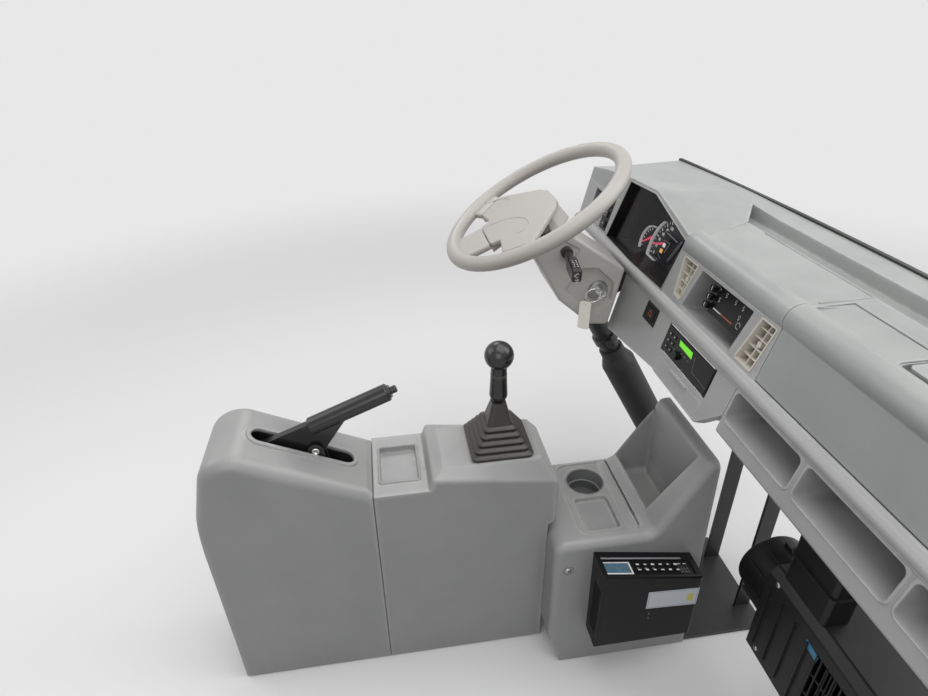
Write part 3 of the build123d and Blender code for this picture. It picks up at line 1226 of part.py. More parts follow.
# Stalks: collar in the shroud's side, neck and a flattened grip
for name, side in (("stalk_left", -1), ("stalk_right", 1)):
    root_x = wheel_x + side * (shroud_half - wall)
    reach = Plane(origin=(root_x + side * (wall + 6), stalk_at[0], stalk_at[1]), x_dir=(0, 0, 1),
                  z_dir=(side, -0.12, -0.05))
    with BuildPart() as stalk:
        with BuildSketch(Plane.YZ.offset(root_x)):
            with Locations(stalk_at):
                Circle(stalk_boss_r)
        extrude(amount=side * (wall + 8))
        for near, far, width0, width1 in ((-2, 28, 15, 17), (28, 46, 17, 28), (46, stalk_len, 28, 24)):
            for out, width in ((near, width0), (far, width1)):
                with BuildSketch(reach.offset(out)):
                    RectangleRounded(width, min(width, 20) * 0.9, 5)
            loft()
        fillet(stalk.faces().sort_by(Axis.X)[-1 if side > 0 else 0].edges(), 4)
    stalk.part.label = name
    export_step(stalk.part, f"parts/{name}.step")

# Ignition lock in the sunk panel, and the key in it
with BuildPart() as ignition_lock:
    with BuildSketch(shroud_right.offset(-lock_sink - wall)):
        with Locations(lock_at):
            Circle(lock_r)
    extrude(amount=wall + 3)
    with BuildSketch(shroud_right.offset(-lock_sink)):
        with Locations(lock_at):
            Circle(lock_r + 4)
    extrude(amount=5, taper=30)
    with BuildSketch(shroud_right.offset(-lock_sink + 3)):
        with Locations(lock_at):
            Circle(lock_r - 3)
    extrude(amount=3, mode=Mode.SUBTRACT)
    with BuildSketch(shroud_right.offset(-lock_sink)):
        with Locations(lock_at):
            Circle(8)
    extrude(amount=9)
    with BuildSketch(shroud_right.offset(-lock_sink + 2)):
        with Locations(Location(lock_at, key_turn)):
            Rectangle(key_w, key_t)
    extrude(amount=10, mode=Mode.SUBTRACT)
ignition_lock.part.label = "ignition_lock"
export_step(ignition_lock.part, "parts/ignition_lock.step")

with BuildPart() as ignition_key:
    with BuildSketch(shroud_right.offset(-lock_sink + 2)):
        with Locations(Location(lock_at, key_turn)):
            Rectangle(key_w, key_t)
    extrude(amount=16)
    with BuildSketch(Plane(origin=shroud_right.offset(-lock_sink + 28).from_local_coords(Vector(*lock_at)),
                           x_dir=(0, cos(radians(key_turn)), sin(radians(key_turn))),
                           z_dir=(0, -sin(radians(key_turn)), cos(radians(key_turn))))):
        Ellipse(11, 12)
        with Locations((0, 6)):
            Circle(2.5, mode=Mode.SUBTRACT)
    extrude(amount=key_t / 2, both=True)
ignition_key.part.label = "ignition_key"
export_step(ignition_key.part, "parts/ignition_key.step")

# Bracket from the beam to the column jacket
with BuildPart() as column_bracket:
    with BuildSketch(Plane.YZ.offset(wheel_x - bracket_w / 2)):
        Polygon((30, 560), (78, 590), (150, 594), (beam_y - 30, beam_z - 20), (beam_y - 16, beam_z - 8),
                (beam_y - 4, beam_z - 8), (beam_y - 4, beam_z - 42), (beam_y - 44, beam_z - 48), (90, 560), (36, 528),
                align=None)
        with Locations((beam_y, beam_z)):
            Circle(beam_r, mode=Mode.SUBTRACT)
    extrude(amount=bracket_w)
    with BuildSketch(Plane.XY.offset(500)):
        with Locations((wheel_x, 165)):
            RectangleRounded(bracket_w - 12, 90, 8)
    extrude(amount=200, mode=Mode.SUBTRACT)
    with BuildSketch(column):
        Circle(jacket_r)
    extrude(amount=-400, mode=Mode.SUBTRACT)
column_bracket.part.label = "column_bracket"
export_step(column_bracket.part, "parts/column_bracket.step")

# Heater unit: moulded case with a chamfered top, and the slotted grille over its core
with BuildPart() as heater_case:
    with BuildSketch(Plane.YZ.offset(heater_x0)):
        Polygon((heater_y0, heater_z0), (heater_y1, heater_z0), (heater_y1, heater_z1 - 30), (heater_y1 - 30, heater_z1),
                (heater_y0 + 12, heater_z1), (heater_y0, heater_z1 - 14), align=None)
        fillet(vertices(), 6)
    extrude(amount=heater_x1 - heater_x0)
    with BuildSketch(Plane.YZ.offset(heater_x0 + wall)):
        Polygon((heater_y0, heater_z0), (heater_y1, heater_z0), (heater_y1, heater_z1 - 30), (heater_y1 - 30, heater_z1),
                (heater_y0 + 12, heater_z1), (heater_y0, heater_z1 - 14), align=None)
        fillet(vertices(), 6)
        offset(amount=-wall)
    extrude(amount=heater_x1 - heater_x0 - 2 * wall, mode=Mode.SUBTRACT)
    with BuildSketch(Plane.XZ.offset(-heater_y0)):
        with Locations((grille_x, heater_z0 + 88)):
            RectangleRounded(grille_w, 130, 5)
    extrude(amount=-2 * wall, mode=Mode.SUBTRACT)
    with BuildSketch(Plane.XY.offset(heater_z1)):
        with Locations((duct_x, duct_y)):
            Rectangle(duct_w - 2 * wall, duct_d - 2 * wall)
    extrude(amount=-2 * wall, mode=Mode.SUBTRACT)
    for rib in range(4):
        with BuildSketch(Plane.XZ.offset(-heater_y0)):
            with Locations((heater_x0 + 14 + rib * 30, heater_z0 + 84)):
                Rectangle(3, 130)
        extrude(amount=3)
heater_case.part.label = "heater_case"
export_step(heater_case.part, "parts/heater_case.step")

with BuildPart() as heater_grille:
    with BuildSketch(Plane.XZ.offset(-heater_y0)):
        with Locations((grille_x, heater_z0 + 88)):
            RectangleRounded(grille_w, 130, 5)
            RectangleRounded(grille_w - 8, 122, 4, mode=Mode.SUBTRACT)
            with GridLocations(grille_w / 9, 0, 8, 1):
                Rectangle(3, 126)
            with GridLocations(0, 42, 1, 2):
                Rectangle(grille_w - 4, 3)
    extrude(amount=-2 * wall)
heater_grille.part.label = "heater_grille"
export_step(heater_grille.part, "parts/heater_grille.step")

# Blower beside the heater, a drum on the case's left side
with BuildPart() as blower:
    with BuildSketch(Plane.YZ.offset(heater_x0)):
        with Locations((blower_y, blower_z)):
            Circle(blower_r)
    extrude(amount=-blower_len, taper=4)
    fillet(blower.faces().sort_by(Axis.X)[0].edges(), 8)
    with BuildSketch(Plane.YZ.offset(heater_x0 - blower_len)):
        with Locations((blower_y, blower_z)):
            Circle(22)
    extrude(amount=-16)
    with BuildSketch(Plane.YZ.offset(heater_x0)):
        with Locations((blower_y, blower_z)):
            with PolarLocations(blower_r - 2, 12):
                Rectangle(8, 3)
    extrude(amount=-blower_len * 0.7)
blower.part.label = "blower"
export_step(blower.part, "parts/blower.step")

# Duct from the heater unit up to the shelf
with BuildPart() as heater_duct:
    with BuildSketch(Plane.XY.offset(heater_z1)):
        with Locations((duct_x, duct_y)):
            RectangleRounded(duct_w, duct_d, 8)
    extrude(amount=pocket_low - tub_wall - heater_z1)
    with BuildSketch(Plane.XY.offset(heater_z1)):
        with Locations((duct_x, duct_y)):
            RectangleRounded(duct_w - 2 * wall, duct_d - 2 * wall, 5)
    extrude(amount=pocket_low - tub_wall - heater_z1, mode=Mode.SUBTRACT)
    for step in range(1, 4):
        with BuildSketch(Plane.XY.offset(heater_z1 + step * 50)):
            with Locations((duct_x, duct_y)):
                RectangleRounded(duct_w + 6, duct_d + 6, 10)
                RectangleRounded(duct_w - 2 * wall, duct_d - 2 * wall, 5, mode=Mode.SUBTRACT)
        extrude(amount=5)
heater_duct.part.label = "heater_duct"
export_step(heater_duct.part, "parts/heater_duct.step")
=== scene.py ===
import bpy
import bmesh
from math import asin, cos, degrees, pi, radians, sin
from mathutils import Matrix, Vector


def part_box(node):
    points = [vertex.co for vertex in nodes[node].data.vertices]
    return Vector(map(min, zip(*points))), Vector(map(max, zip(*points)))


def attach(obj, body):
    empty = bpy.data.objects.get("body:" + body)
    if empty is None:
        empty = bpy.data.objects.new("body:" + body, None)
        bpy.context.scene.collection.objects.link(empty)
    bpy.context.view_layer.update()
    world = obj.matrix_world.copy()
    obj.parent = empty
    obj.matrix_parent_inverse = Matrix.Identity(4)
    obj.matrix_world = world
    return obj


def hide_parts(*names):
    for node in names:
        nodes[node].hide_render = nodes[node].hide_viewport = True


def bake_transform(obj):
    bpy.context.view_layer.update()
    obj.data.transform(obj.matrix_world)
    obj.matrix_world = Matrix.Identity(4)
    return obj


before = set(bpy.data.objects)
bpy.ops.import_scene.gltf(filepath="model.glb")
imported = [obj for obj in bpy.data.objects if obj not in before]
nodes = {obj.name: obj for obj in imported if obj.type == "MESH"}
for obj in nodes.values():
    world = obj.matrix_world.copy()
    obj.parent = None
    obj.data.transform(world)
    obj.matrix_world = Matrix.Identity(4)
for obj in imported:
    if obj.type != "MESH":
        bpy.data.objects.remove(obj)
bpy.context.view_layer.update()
print("stage: frame loaded")


def addObject(name, data):
    obj = bpy.data.objects.new(name, data)
    bpy.context.scene.collection.objects.link(obj)
    return obj


photoCamera = {
    "at": (0.791, -0.398, 1.095),  # metres
    "yaw": 8.2065,  # degrees, from -X towards +Y
    "pitch": 30.223,  # degrees below the horizon
    "roll": -0.8417,  # degrees
    "lens": 23.85,  # mm
    "sensor": 36,  # mm
}


def makeCamera(values):
    yaw, pitch, roll = (radians(values[key]) for key in ("yaw", "pitch", "roll"))
    look = Vector((-cos(yaw) * cos(pitch), sin(yaw) * cos(pitch), -sin(pitch)))
    right = look.cross(Vector((0, 0, 1))).normalized()
    up = right.cross(look)
    turned = Matrix((right * cos(roll) + up * sin(roll), up * cos(roll) - right * sin(roll), -look)).transposed()
    cam = bpy.data.cameras.new("photoCam")
    cam.lens = values["lens"]
    cam.sensor_width = values["sensor"]
    obj = addObject("photoCam", cam)
    obj.matrix_world = Matrix.Translation(values["at"]) @ turned.to_4x4()
    bpy.context.scene.camera = obj


makeCamera(photoCamera)


# Shader helpers: a link goes from an output to an input's name or number, a socket gets a plain value
def node(tree, kind, links=(), sockets=(), **values):
    made = tree.nodes.new(kind)
    for key, value in values.items():
        setattr(made, key, value)
    for source, target in links:
        tree.links.new(source, made.inputs[target])
    for target, value in sockets:
        made.inputs[target].default_value = value
    return made


def stretch(tree, source, span, **values):
    return node(tree, "ShaderNodeMapRange", [(source, "Value")], [("From Min", span[0]), ("From Max", span[1])],
                **values).outputs[0]


def times(tree, first, second):
    return node(tree, "ShaderNodeMath", [(first, 0), (second, 1)], operation="MULTIPLY").outputs[0]


def mixColour(tree, mask, first, second):
    mix = node(tree, "ShaderNodeMix", [(mask, 0)], data_type="RGBA")
    for socket, colour in ((mix.inputs[6], first), (mix.inputs[7], second)):
        if isinstance(colour, tuple):
            socket.default_value = (*colour, 1)
        else:
            tree.links.new(colour, socket)
    return mix.outputs[2]


# Room: pale floor that fades into a pale backdrop, soft panels overhead
room = {
    "paleColour": (0.80, 0.80, 0.80),  # as the camera, gloss and glass see the floor and surroundings
    "floorBounce": (0.36, 0.36, 0.36),  # as the floor lights the object
    "floorRough": 0.7,
    "floorReach": 40,  # metres to each side
    "floorDrop": -0.002,  # metres, just under the object
    "fade": (1.3, 3.2),  # metres from the object's foot, where the floor turns into backdrop
    "skyStrength": 0.34,
    "lamps": [
        # name, place, size, watts
        ("lampAbove", (0.15, 0.25, 2.5), 2.2, 33),
        ("lampFront", (0.3, 2.0, 1.9), 1.7, 24),
        ("lampSide", (2.3, -0.9, 1.7), 1.6, 15),
        ("lampDriver", (-1.7, -0.4, 2.0), 0.7, 6),
        ("lampRear", (-0.6, -2.1, 1.7), 1.5, 12),
    ],
    "aim": (0.0, 0.0, 0.55),
}


def seenDirectly(tree):
    rays = node(tree, "ShaderNodeLightPath")
    seen = rays.outputs["Is Camera Ray"]
    for kind in ("Is Glossy Ray", "Is Transmission Ray"):
        seen = node(tree, "ShaderNodeMath", [(seen, 0), (rays.outputs[kind], 1)], operation="MAXIMUM").outputs[0]
    return seen


def makeSky(values):
    world = bpy.data.worlds.new("room")
    bpy.context.scene.world = world
    world.use_nodes = True
    tree = world.node_tree
    light = tree.nodes["Background"]
    light.inputs["Color"].default_value = (1, 1, 1, 1)
    light.inputs["Strength"].default_value = values["skyStrength"]
    pale = node(tree, "ShaderNodeBackground", sockets=[("Color", (*values["paleColour"], 1))])
    mix = node(tree, "ShaderNodeMixShader", [(seenDirectly(tree), 0), (light.outputs[0], 1), (pale.outputs[0], 2)])
    tree.links.new(mix.outputs[0], tree.nodes["World Output"].inputs["Surface"])


def makeLamps(values):
    for name, place, size, watts in values["lamps"]:
        lamp = bpy.data.lights.new(name, "AREA")
        lamp.shape = "SQUARE"
        lamp.size = size
        lamp.energy = watts
        obj = addObject(name, lamp)
        obj.location = place
        aim = Vector(values["aim"]) - Vector(place)
        obj.rotation_euler = aim.to_track_quat("-Z", "Y").to_euler()


def makeFloor(values):
    bm = bmesh.new()
    bmesh.ops.create_grid(bm, x_segments=4, y_segments=4, size=values["floorReach"])
    mesh = bpy.data.meshes.new("floor")
    bm.to_mesh(mesh)
    bm.free()
    floor = addObject("floor", mesh)
    floor.location = (0, 0, values["floorDrop"])
    mat = bpy.data.materials.new("floorPale")
    mat.use_nodes = True
    tree = mat.node_tree
    skin = tree.nodes["Principled BSDF"]
    skin.inputs["Roughness"].default_value = values["floorRough"]
    seen = seenDirectly(tree)
    tree.links.new(mixColour(tree, seen, values["floorBounce"], values["paleColour"]), skin.inputs["Base Color"])
    place = node(tree, "ShaderNodeTexCoord")
    reach = node(tree, "ShaderNodeVectorMath", [(place.outputs["Object"], 0)], operation="LENGTH")
    fade = stretch(tree, reach.outputs["Value"], values["fade"], interpolation_type="SMOOTHSTEP")
    pale = node(tree, "ShaderNodeEmission", sockets=[("Color", (*values["paleColour"], 1))])
    mix = node(tree, "ShaderNodeMixShader",
               [(times(tree, fade, seen), 0), (skin.outputs[0], 1), (pale.outputs[0], 2)])
    tree.links.new(mix.outputs[0], tree.nodes["Material Output"].inputs["Surface"])
    mesh.materials.append(mat)


makeSky(room)
makeLamps(room)
makeFloor(room)
bpy.context.scene.view_settings.view_transform = "Standard"
print("stage: room and camera")

# Shader groups shared by the materials
effects = {
    "cornerSamples": 4,
    "grainHeight": 0.0004,  # metres
    "edgeSpan": (0.998, 0.86),  # cosine between the flat and the rounded normal
    "patchSpan": (0.1, 0.6),
    "levelSpan": (0.2, 1.0),  # upward part of the normal, from no dust to full dust
    "driftSpan": (0.35, 0.75),
    "driftDetail": 5,
}


def startGroup(name, inputs, outputs):
    group = bpy.data.node_groups.new(name, "ShaderNodeTree")
    for label, value in inputs:
        socket = group.interface.new_socket(label, in_out="INPUT", socket_type="NodeSocketFloat")
        socket.default_value = value
    for label, kind in outputs:
        group.interface.new_socket(label, in_out="OUTPUT", socket_type=kind)
    return group, group.nodes.new("NodeGroupInput"), group.nodes.new("NodeGroupOutput")


def scaledTexture(group, kind, given, sockets=(), **values):
    place = node(group, "ShaderNodeTexCoord")
    return node(group, kind, [(place.outputs["Object"], "Vector"), (given.outputs["Scale"], "Scale")], sockets,
                **values)


def makeGrain(values):
    group, given, out = startGroup(
        "mouldedGrain", [("Scale", 900), ("Depth", 0.2), ("Rounding", 0.0015)],
        [("Normal", "NodeSocketVector"), ("Fleck", "NodeSocketFloat")])
    cells = scaledTexture(group, "ShaderNodeTexVoronoi", given, feature="SMOOTH_F1")
    fine = scaledTexture(group, "ShaderNodeTexNoise", given)
    both = node(group, "ShaderNodeMath", [(cells.outputs["Distance"], 0), (fine.outputs[0], 1)], operation="ADD")
    rounded = node(group, "ShaderNodeBevel", [(given.outputs["Rounding"], "Radius")],
                   samples=values["cornerSamples"])
    bump = node(group, "ShaderNodeBump",
                [(given.outputs["Depth"], "Strength"), (both.outputs[0], "Height"), (rounded.outputs[0], "Normal")],
                [("Distance", values["grainHeight"])])
    group.links.new(bump.outputs[0], out.inputs["Normal"])
    group.links.new(fine.outputs[0], out.inputs["Fleck"])
    return group


# Lighter colour on rounded edges: partly rubbed wear, partly a painted glint along the edges
def makeWearAndGlint(values):
    group, given, out = startGroup("edgeWearAndGlint", [("Width", 0.002), ("Scale", 60), ("Amount", 0.5)],
                                   [("Mask", "NodeSocketFloat")])
    shape = node(group, "ShaderNodeNewGeometry")
    rounded = node(group, "ShaderNodeBevel", [(given.outputs["Width"], "Radius")], samples=values["cornerSamples"])
    same = node(group, "ShaderNodeVectorMath", [(shape.outputs["Normal"], 0), (rounded.outputs[0], 1)],
                operation="DOT_PRODUCT")
    edge = stretch(group, same.outputs["Value"], values["edgeSpan"])
    patch = scaledTexture(group, "ShaderNodeTexNoise", given)
    patchy = stretch(group, patch.outputs[0], values["patchSpan"])
    mask = times(group, times(group, edge, patchy), given.outputs["Amount"])
    group.links.new(mask, out.inputs["Mask"])
    return group


def makeDust(values):
    group, given, out = startGroup("settledDust", [("Scale", 14), ("Amount", 0.3)], [("Mask", "NodeSocketFloat")])
    place = node(group, "ShaderNodeTexCoord")
    parts = node(group, "ShaderNodeSeparateXYZ", [(place.outputs["Normal"], 0)])
    level = stretch(group, parts.outputs["Z"], values["levelSpan"])
    cloud = scaledTexture(group, "ShaderNodeTexNoise", given, [("Detail", values["driftDetail"])])
    drift = stretch(group, cloud.outputs[0], values["driftSpan"])
    mask = times(group, times(group, level, drift), given.outputs["Amount"])
    group.links.new(mask, out.inputs["Mask"])
    return group


grainGroup, wearAndGlintGroup, dustGroup = makeGrain(effects), makeWearAndGlint(effects), makeDust(effects)


def useGroup(tree, group, **values):
    made = node(tree, "ShaderNodeGroup", node_tree=group)
    for key, value in values.items():
        made.inputs[key].default_value = value
    return made


# What a finish has unless it says otherwise; lengths in metres
plainLook = {
    "cloudScale": 9, "cloudDetail": 4, "cloudDark": 0.9,
    "dust": 0, "dustColour": (0.42, 0.41, 0.39),
    "wearAndGlint": 0, "wearAndGlintWidth": 0.002, "wearAndGlintColour": (0.55, 0.55, 0.54),
    "grainScale": 900, "grainDepth": 0.2, "rounding": 0.0015,
    "roughSpread": 0.06,
}
socketKeys = {
    "Metallic": "metal", "Transmission Weight": "clear", "Specular IOR Level": "specular",
    "Emission Strength": "glow", "IOR": "bend",
}


def makeMaterial(name, ownLook):
    look = {**plainLook, **ownLook}
    mat = bpy.data.materials.new(name)
    mat.use_nodes = True
    tree = mat.node_tree
    skin = tree.nodes["Principled BSDF"]
    place = node(tree, "ShaderNodeTexCoord")
    cloud = node(tree, "ShaderNodeTexNoise", [(place.outputs["Object"], "Vector")],
                 [("Scale", look["cloudScale"]), ("Detail", look["cloudDetail"])])
    shade = tuple(part * look["cloudDark"] for part in look["colour"])
    out = mixColour(tree, cloud.outputs[0], shade, look["colour"])
    if look["dust"]:
        dust = useGroup(tree, dustGroup, Amount=look["dust"])
        out = mixColour(tree, dust.outputs[0], out, look["dustColour"])
    # Lighter edges: rubbed wear together with a painted glint
    if look["wearAndGlint"]:
        wearAndGlint = useGroup(tree, wearAndGlintGroup, Amount=look["wearAndGlint"], Width=look["wearAndGlintWidth"])
        out = mixColour(tree, wearAndGlint.outputs[0], out, look["wearAndGlintColour"])
    tree.links.new(out, skin.inputs["Base Color"])
    grain = useGroup(tree, grainGroup, Scale=look["grainScale"], Depth=look["grainDepth"], Rounding=look["rounding"])
    tree.links.new(grain.outputs["Normal"], skin.inputs["Normal"])
    gloss = node(tree, "ShaderNodeMapRange", [(grain.outputs["Fleck"], "Value")],
                 [("To Min", look["rough"] - look["roughSpread"]), ("To Max", look["rough"] + look["roughSpread"])])
    tree.links.new(gloss.outputs[0], skin.inputs["Roughness"])
    for socket, key in socketKeys.items():
        if key in look:
            skin.inputs[socket].default_value = look[key]
    if "glow" in look:
        skin.inputs["Emission Color"].default_value = (*look["glowColour"], 1)
    return mat


looks = {
    "dashTop": {"colour": (0.330, 0.348, 0.338), "rough": 0.34, "dust": 0.3, "dustColour": (0.44, 0.45, 0.43),
                "wearAndGlint": 0.35, "wearAndGlintWidth": 0.008, "wearAndGlintColour": (0.62, 0.63, 0.62), "cloudDark": 0.78,
                "cloudScale": 7, "rounding": 0.003},
    "dashFace": {"colour": (0.385, 0.390, 0.385), "rough": 0.36, "wearAndGlint": 0.40, "wearAndGlintWidth": 0.007,
                 "wearAndGlintColour": (0.70, 0.70, 0.69), "cloudDark": 0.78, "rounding": 0.0025},
    "consoleGrey": {"colour": (0.320, 0.325, 0.322), "rough": 0.34, "dust": 0.3, "wearAndGlint": 0.42, "wearAndGlintWidth": 0.010,
                    "wearAndGlintColour": (0.58, 0.58, 0.57), "cloudDark": 0.76, "rounding": 0.004},
    "binGrey": {"colour": (0.200, 0.203, 0.205), "rough": 0.55, "dust": 0.4},
    "wheelGrey": {"colour": (0.410, 0.390, 0.362), "rough": 0.36, "wearAndGlint": 0.3, "wearAndGlintColour": (0.60, 0.58, 0.55),
                  "cloudDark": 0.93, "grainDepth": 0.3, "rounding": 0.003},
    "shroudGrey": {"colour": (0.500, 0.485, 0.460), "rough": 0.42, "wearAndGlint": 0.4, "wearAndGlintColour": (0.68, 0.67, 0.64),
                   "rounding": 0.003},
    "ventBeige": {"colour": (0.640, 0.600, 0.525), "rough": 0.48, "dust": 0.25, "rounding": 0.0008},
    "glossBlack": {"colour": (0.005, 0.005, 0.006), "rough": 0.22, "specular": 0.25, "grainDepth": 0.03,
                   "rounding": 0.0008},
    "satinBlack": {"colour": (0.009, 0.009, 0.010), "rough": 0.38, "grainDepth": 0.1, "dust": 0.03,
                   "specular": 0.25},
    "boxBlack": {"colour": (0.006, 0.006, 0.007), "rough": 0.36, "grainDepth": 0.3, "grainScale": 700,
                 "specular": 0.18},
    "bootBlack": {"colour": (0.030, 0.026, 0.024), "rough": 0.36, "grainDepth": 0.12, "rounding": 0.003,
                  "dust": 0.08},
    "rubberBlack": {"colour": (0.020, 0.020, 0.020), "rough": 0.60, "dust": 0.12},
    "frameBlack": {"colour": (0.020, 0.020, 0.022), "rough": 0.40, "wearAndGlint": 0.5, "wearAndGlintColour": (0.20, 0.19, 0.18)},
    "leverBlack": {"colour": (0.016, 0.015, 0.015), "rough": 0.22, "wearAndGlint": 0.6, "wearAndGlintColour": (0.16, 0.15, 0.14),
                   "grainDepth": 0.08},
    "bareSteel": {"colour": (0.46, 0.46, 0.45), "rough": 0.34, "metal": 1.0, "grainDepth": 0.1},
    "chrome": {"colour": (0.75, 0.75, 0.74), "rough": 0.14, "metal": 1.0, "grainDepth": 0.03, "rounding": 0.0006},
    "dialBlack": {"colour": (0.008, 0.008, 0.010), "rough": 0.45, "specular": 0.08, "grainDepth": 0.1,
                  "rounding": 0.0005},
    "dialGrey": {"colour": (0.040, 0.040, 0.039), "rough": 0.55, "specular": 0.08, "grainDepth": 0.05,
                 "cloudScale": 60, "cloudDark": 0.6},
    # The next three glow: on the dial marks, rings and needles the glow is painted light, as they are no lamps; on the
    # white warning lamp it is the lamp's own light
    "dialWhite": {"colour": (0.80, 0.80, 0.78), "rough": 0.45, "grainDepth": 0.05, "glow": 0.30,
                  "glowColour": (0.9, 0.9, 0.9)},
    "ringSilverPaintedGlow": {"colour": (0.66, 0.66, 0.65), "rough": 0.28, "grainDepth": 0.03, "glow": 0.12,
                   "glowColour": (0.8, 0.8, 0.8)},
    "needleRedPaintedGlow": {"colour": (0.55, 0.04, 0.08), "rough": 0.40, "glow": 0.5, "glowColour": (0.85, 0.05, 0.12)},
    "markWhite": {"colour": (0.72, 0.72, 0.70), "rough": 0.45, "grainDepth": 0.05, "cloudScale": 80},
    "markGrey": {"colour": (0.22, 0.22, 0.23), "rough": 0.45, "grainDepth": 0.05, "cloudScale": 80},
    "markRed": {"colour": (0.40, 0.07, 0.05), "rough": 0.45, "grainDepth": 0.05},
    "lineLilac": {"colour": (0.40, 0.37, 0.42), "rough": 0.40, "grainDepth": 0.05},
    "lampOrange": {"colour": (0.85, 0.42, 0.12), "rough": 0.40, "glow": 0.5, "glowColour": (1.0, 0.45, 0.12)},
    # Pale grey of the bead that paints the highlight along the cluster's lip
    "lipHighlightGrey": {"colour": (0.42, 0.42, 0.41), "rough": 0.40, "grainDepth": 0.1, "rounding": 0.0008},
    "displayGreen": {"colour": (0.16, 0.62, 0.02), "rough": 0.35, "glow": 0.55, "glowColour": (0.12, 0.62, 0.01),
                     "grainDepth": 0.02, "cloudScale": 50},
    "labelPale": {"colour": (0.60, 0.63, 0.68), "rough": 0.42, "grainDepth": 0.05, "cloudScale": 30},
    "labelYellow": {"colour": (0.62, 0.62, 0.12), "rough": 0.42, "grainDepth": 0.05},
    "stickerBlue": {"colour": (0.03, 0.20, 0.34), "rough": 0.30, "grainDepth": 0.02},
    "lcdBlue": {"colour": (0.10, 0.20, 0.27), "rough": 0.20, "grainDepth": 0.02, "cloudScale": 120,
                "cloudDark": 0.4},
    "tagCream": {"colour": (0.92, 0.90, 0.80), "rough": 0.55, "grainDepth": 0.1, "cloudScale": 60},
    "sleeveBrown": {"colour": (0.060, 0.052, 0.048), "rough": 0.36, "metal": 0.3, "grainDepth": 0.08},
    "lensClear": {"colour": (0.90, 0.90, 0.92), "rough": 0.04, "clear": 1.0, "bend": 1.10, "grainDepth": 0.0,
                  "rounding": 0.0005},
}
mats = {name: makeMaterial(name, look) for name, look in looks.items()}

nodeLooks = {
    "dashTop": ["dash_pad", "glove_lid", "lid_latch"],
    "dashFace": ["fascia", "centre_panel", "parcel_shelf", "niche", "ash_drawer"],
    "consoleGrey": ["front_console", "gear_console", "brake_console"],
    "binGrey": ["glove_bin", "cup_holder", "vent_side_left", "vent_side_right"],
    "wheelGrey": ["steering_wheel", "wheel_pad"],
    "shroudGrey": ["shroud"],
    "ventBeige": ["vent_left", "vent_right"],
    "glossBlack": ["radio", "heater_panel", "dial_plate"],
    "satinBlack": ["cluster_housing", "hazard_switch", "switch_bank", "heater_case", "heater_duct",
                   "heater_grille", "blower"],
    "boxBlack": ["control_box"],
    "bootBlack": ["gear_boot"],
    "rubberBlack": ["column_boot", "screen_seal"],
    "frameBlack": ["cross_beam", "centre_stay", "column_bracket", "column_jacket", "console_carrier",
                   "gear_housing", "brake_bracket"],
    "leverBlack": ["brake_lever", "gear_lever", "stalk_left", "stalk_right"],
    "bareSteel": ["steering_shaft", "ignition_lock"],
    "chrome": ["ignition_key"],
    "lensClear": ["cluster_lens"],
}
for look, names in nodeLooks.items():
    for name in names:
        for slot in nodes[name].material_slots:
            slot.material = mats[look]
nodes["cluster_lens"].visible_shadow = False  # light reaches the dials
print("stage: materials")


# Pieces are drawn in millimetres on a plane of the object, then carried over in metres.
# Heights are millimetres above that plane.
def planeAt(origin, across, up):
    across, up = Vector(across).normalized(), Vector(up)
    up = (up - across * across.dot(up)).normalized()
    turned = Matrix((across, up, across.cross(up))).transposed()
    return Matrix.Translation(origin) @ turned.to_4x4() @ Matrix.Scale(0.001, 4)


faceTilt, columnTilt = radians(13.8), radians(29.54)
facePlane = planeAt((0, 0.097, 0.624), (1, 0, 0), (0, sin(faceTilt), cos(faceTilt)))
columnPlane = planeAt((-0.319, -0.100, 0.743), (1, 0, 0), (0, cos(columnTilt), sin(columnTilt)))
heaterFront = planeAt((0, 0.150, 0), (1, 0, 0), (0, 0, 1))
upright = planeAt((0, 0, 0), (1, 0, 0), (0, 1, 0))
plateChamfer, fineChamfer = 0.25, 0.1


def joinRings(bm, rings, closed=False):
    count = len(rings[0])
    for lower, upper in list(zip(rings, rings[1:])) + ([(rings[-1], rings[0])] if closed else []):
        for i in range(count):
            j = (i + 1) % count
            bm.faces.new((lower[i], lower[j], upper[j], upper[i]))
    if not closed:
        bm.faces.new(rings[-1])
        bm.faces.new(list(reversed(rings[0])))


def addPlate(bm, outline, low, high, chamfer=plateChamfer):
    middle = Vector((sum(p[0] for p in outline), sum(p[1] for p in outline), 0)) / len(outline)
    reach = max((Vector((*p, 0)) - middle).length for p in outline)
    rings = []
    for height, shrink in ((low, 0), (high - chamfer, 0), (high, chamfer / reach)):
        rings.append([bm.verts.new((p[0] + (middle.x - p[0]) * shrink, p[1] + (middle.y - p[1]) * shrink, height))
                      for p in outline])
    joinRings(bm, rings)


def addTurned(bm, centre, profile, steps=32, leastRadius=0.01):
    rings = []
    for r, z in profile:
        r = max(r, leastRadius)
        rings.append([bm.verts.new((centre[0] + r * cos(2 * pi * i / steps), centre[1] + r * sin(2 * pi * i / steps),
                                    z)) for i in range(steps)])
    joinRings(bm, rings)


def addTube(bm, points, radius, closed=False, steps=8):
    points = [Vector(p) for p in points]
    count, rings = len(points), []
    for i, point in enumerate(points):
        before = points[i - 1] if i or closed else point
        after = points[(i + 1) % count] if i < count - 1 or closed else point
        along = (after - before).normalized()
        side = along.cross(Vector((0, 0, 1)))
        side = side.normalized() if side.length > 1e-4 else Vector((1, 0, 0))
        over = side.cross(along)
        rings.append([bm.verts.new(point + (side * cos(2 * pi * k / steps) + over * sin(2 * pi * k / steps)) * radius)
                      for k in range(steps)])
    joinRings(bm, rings, closed)


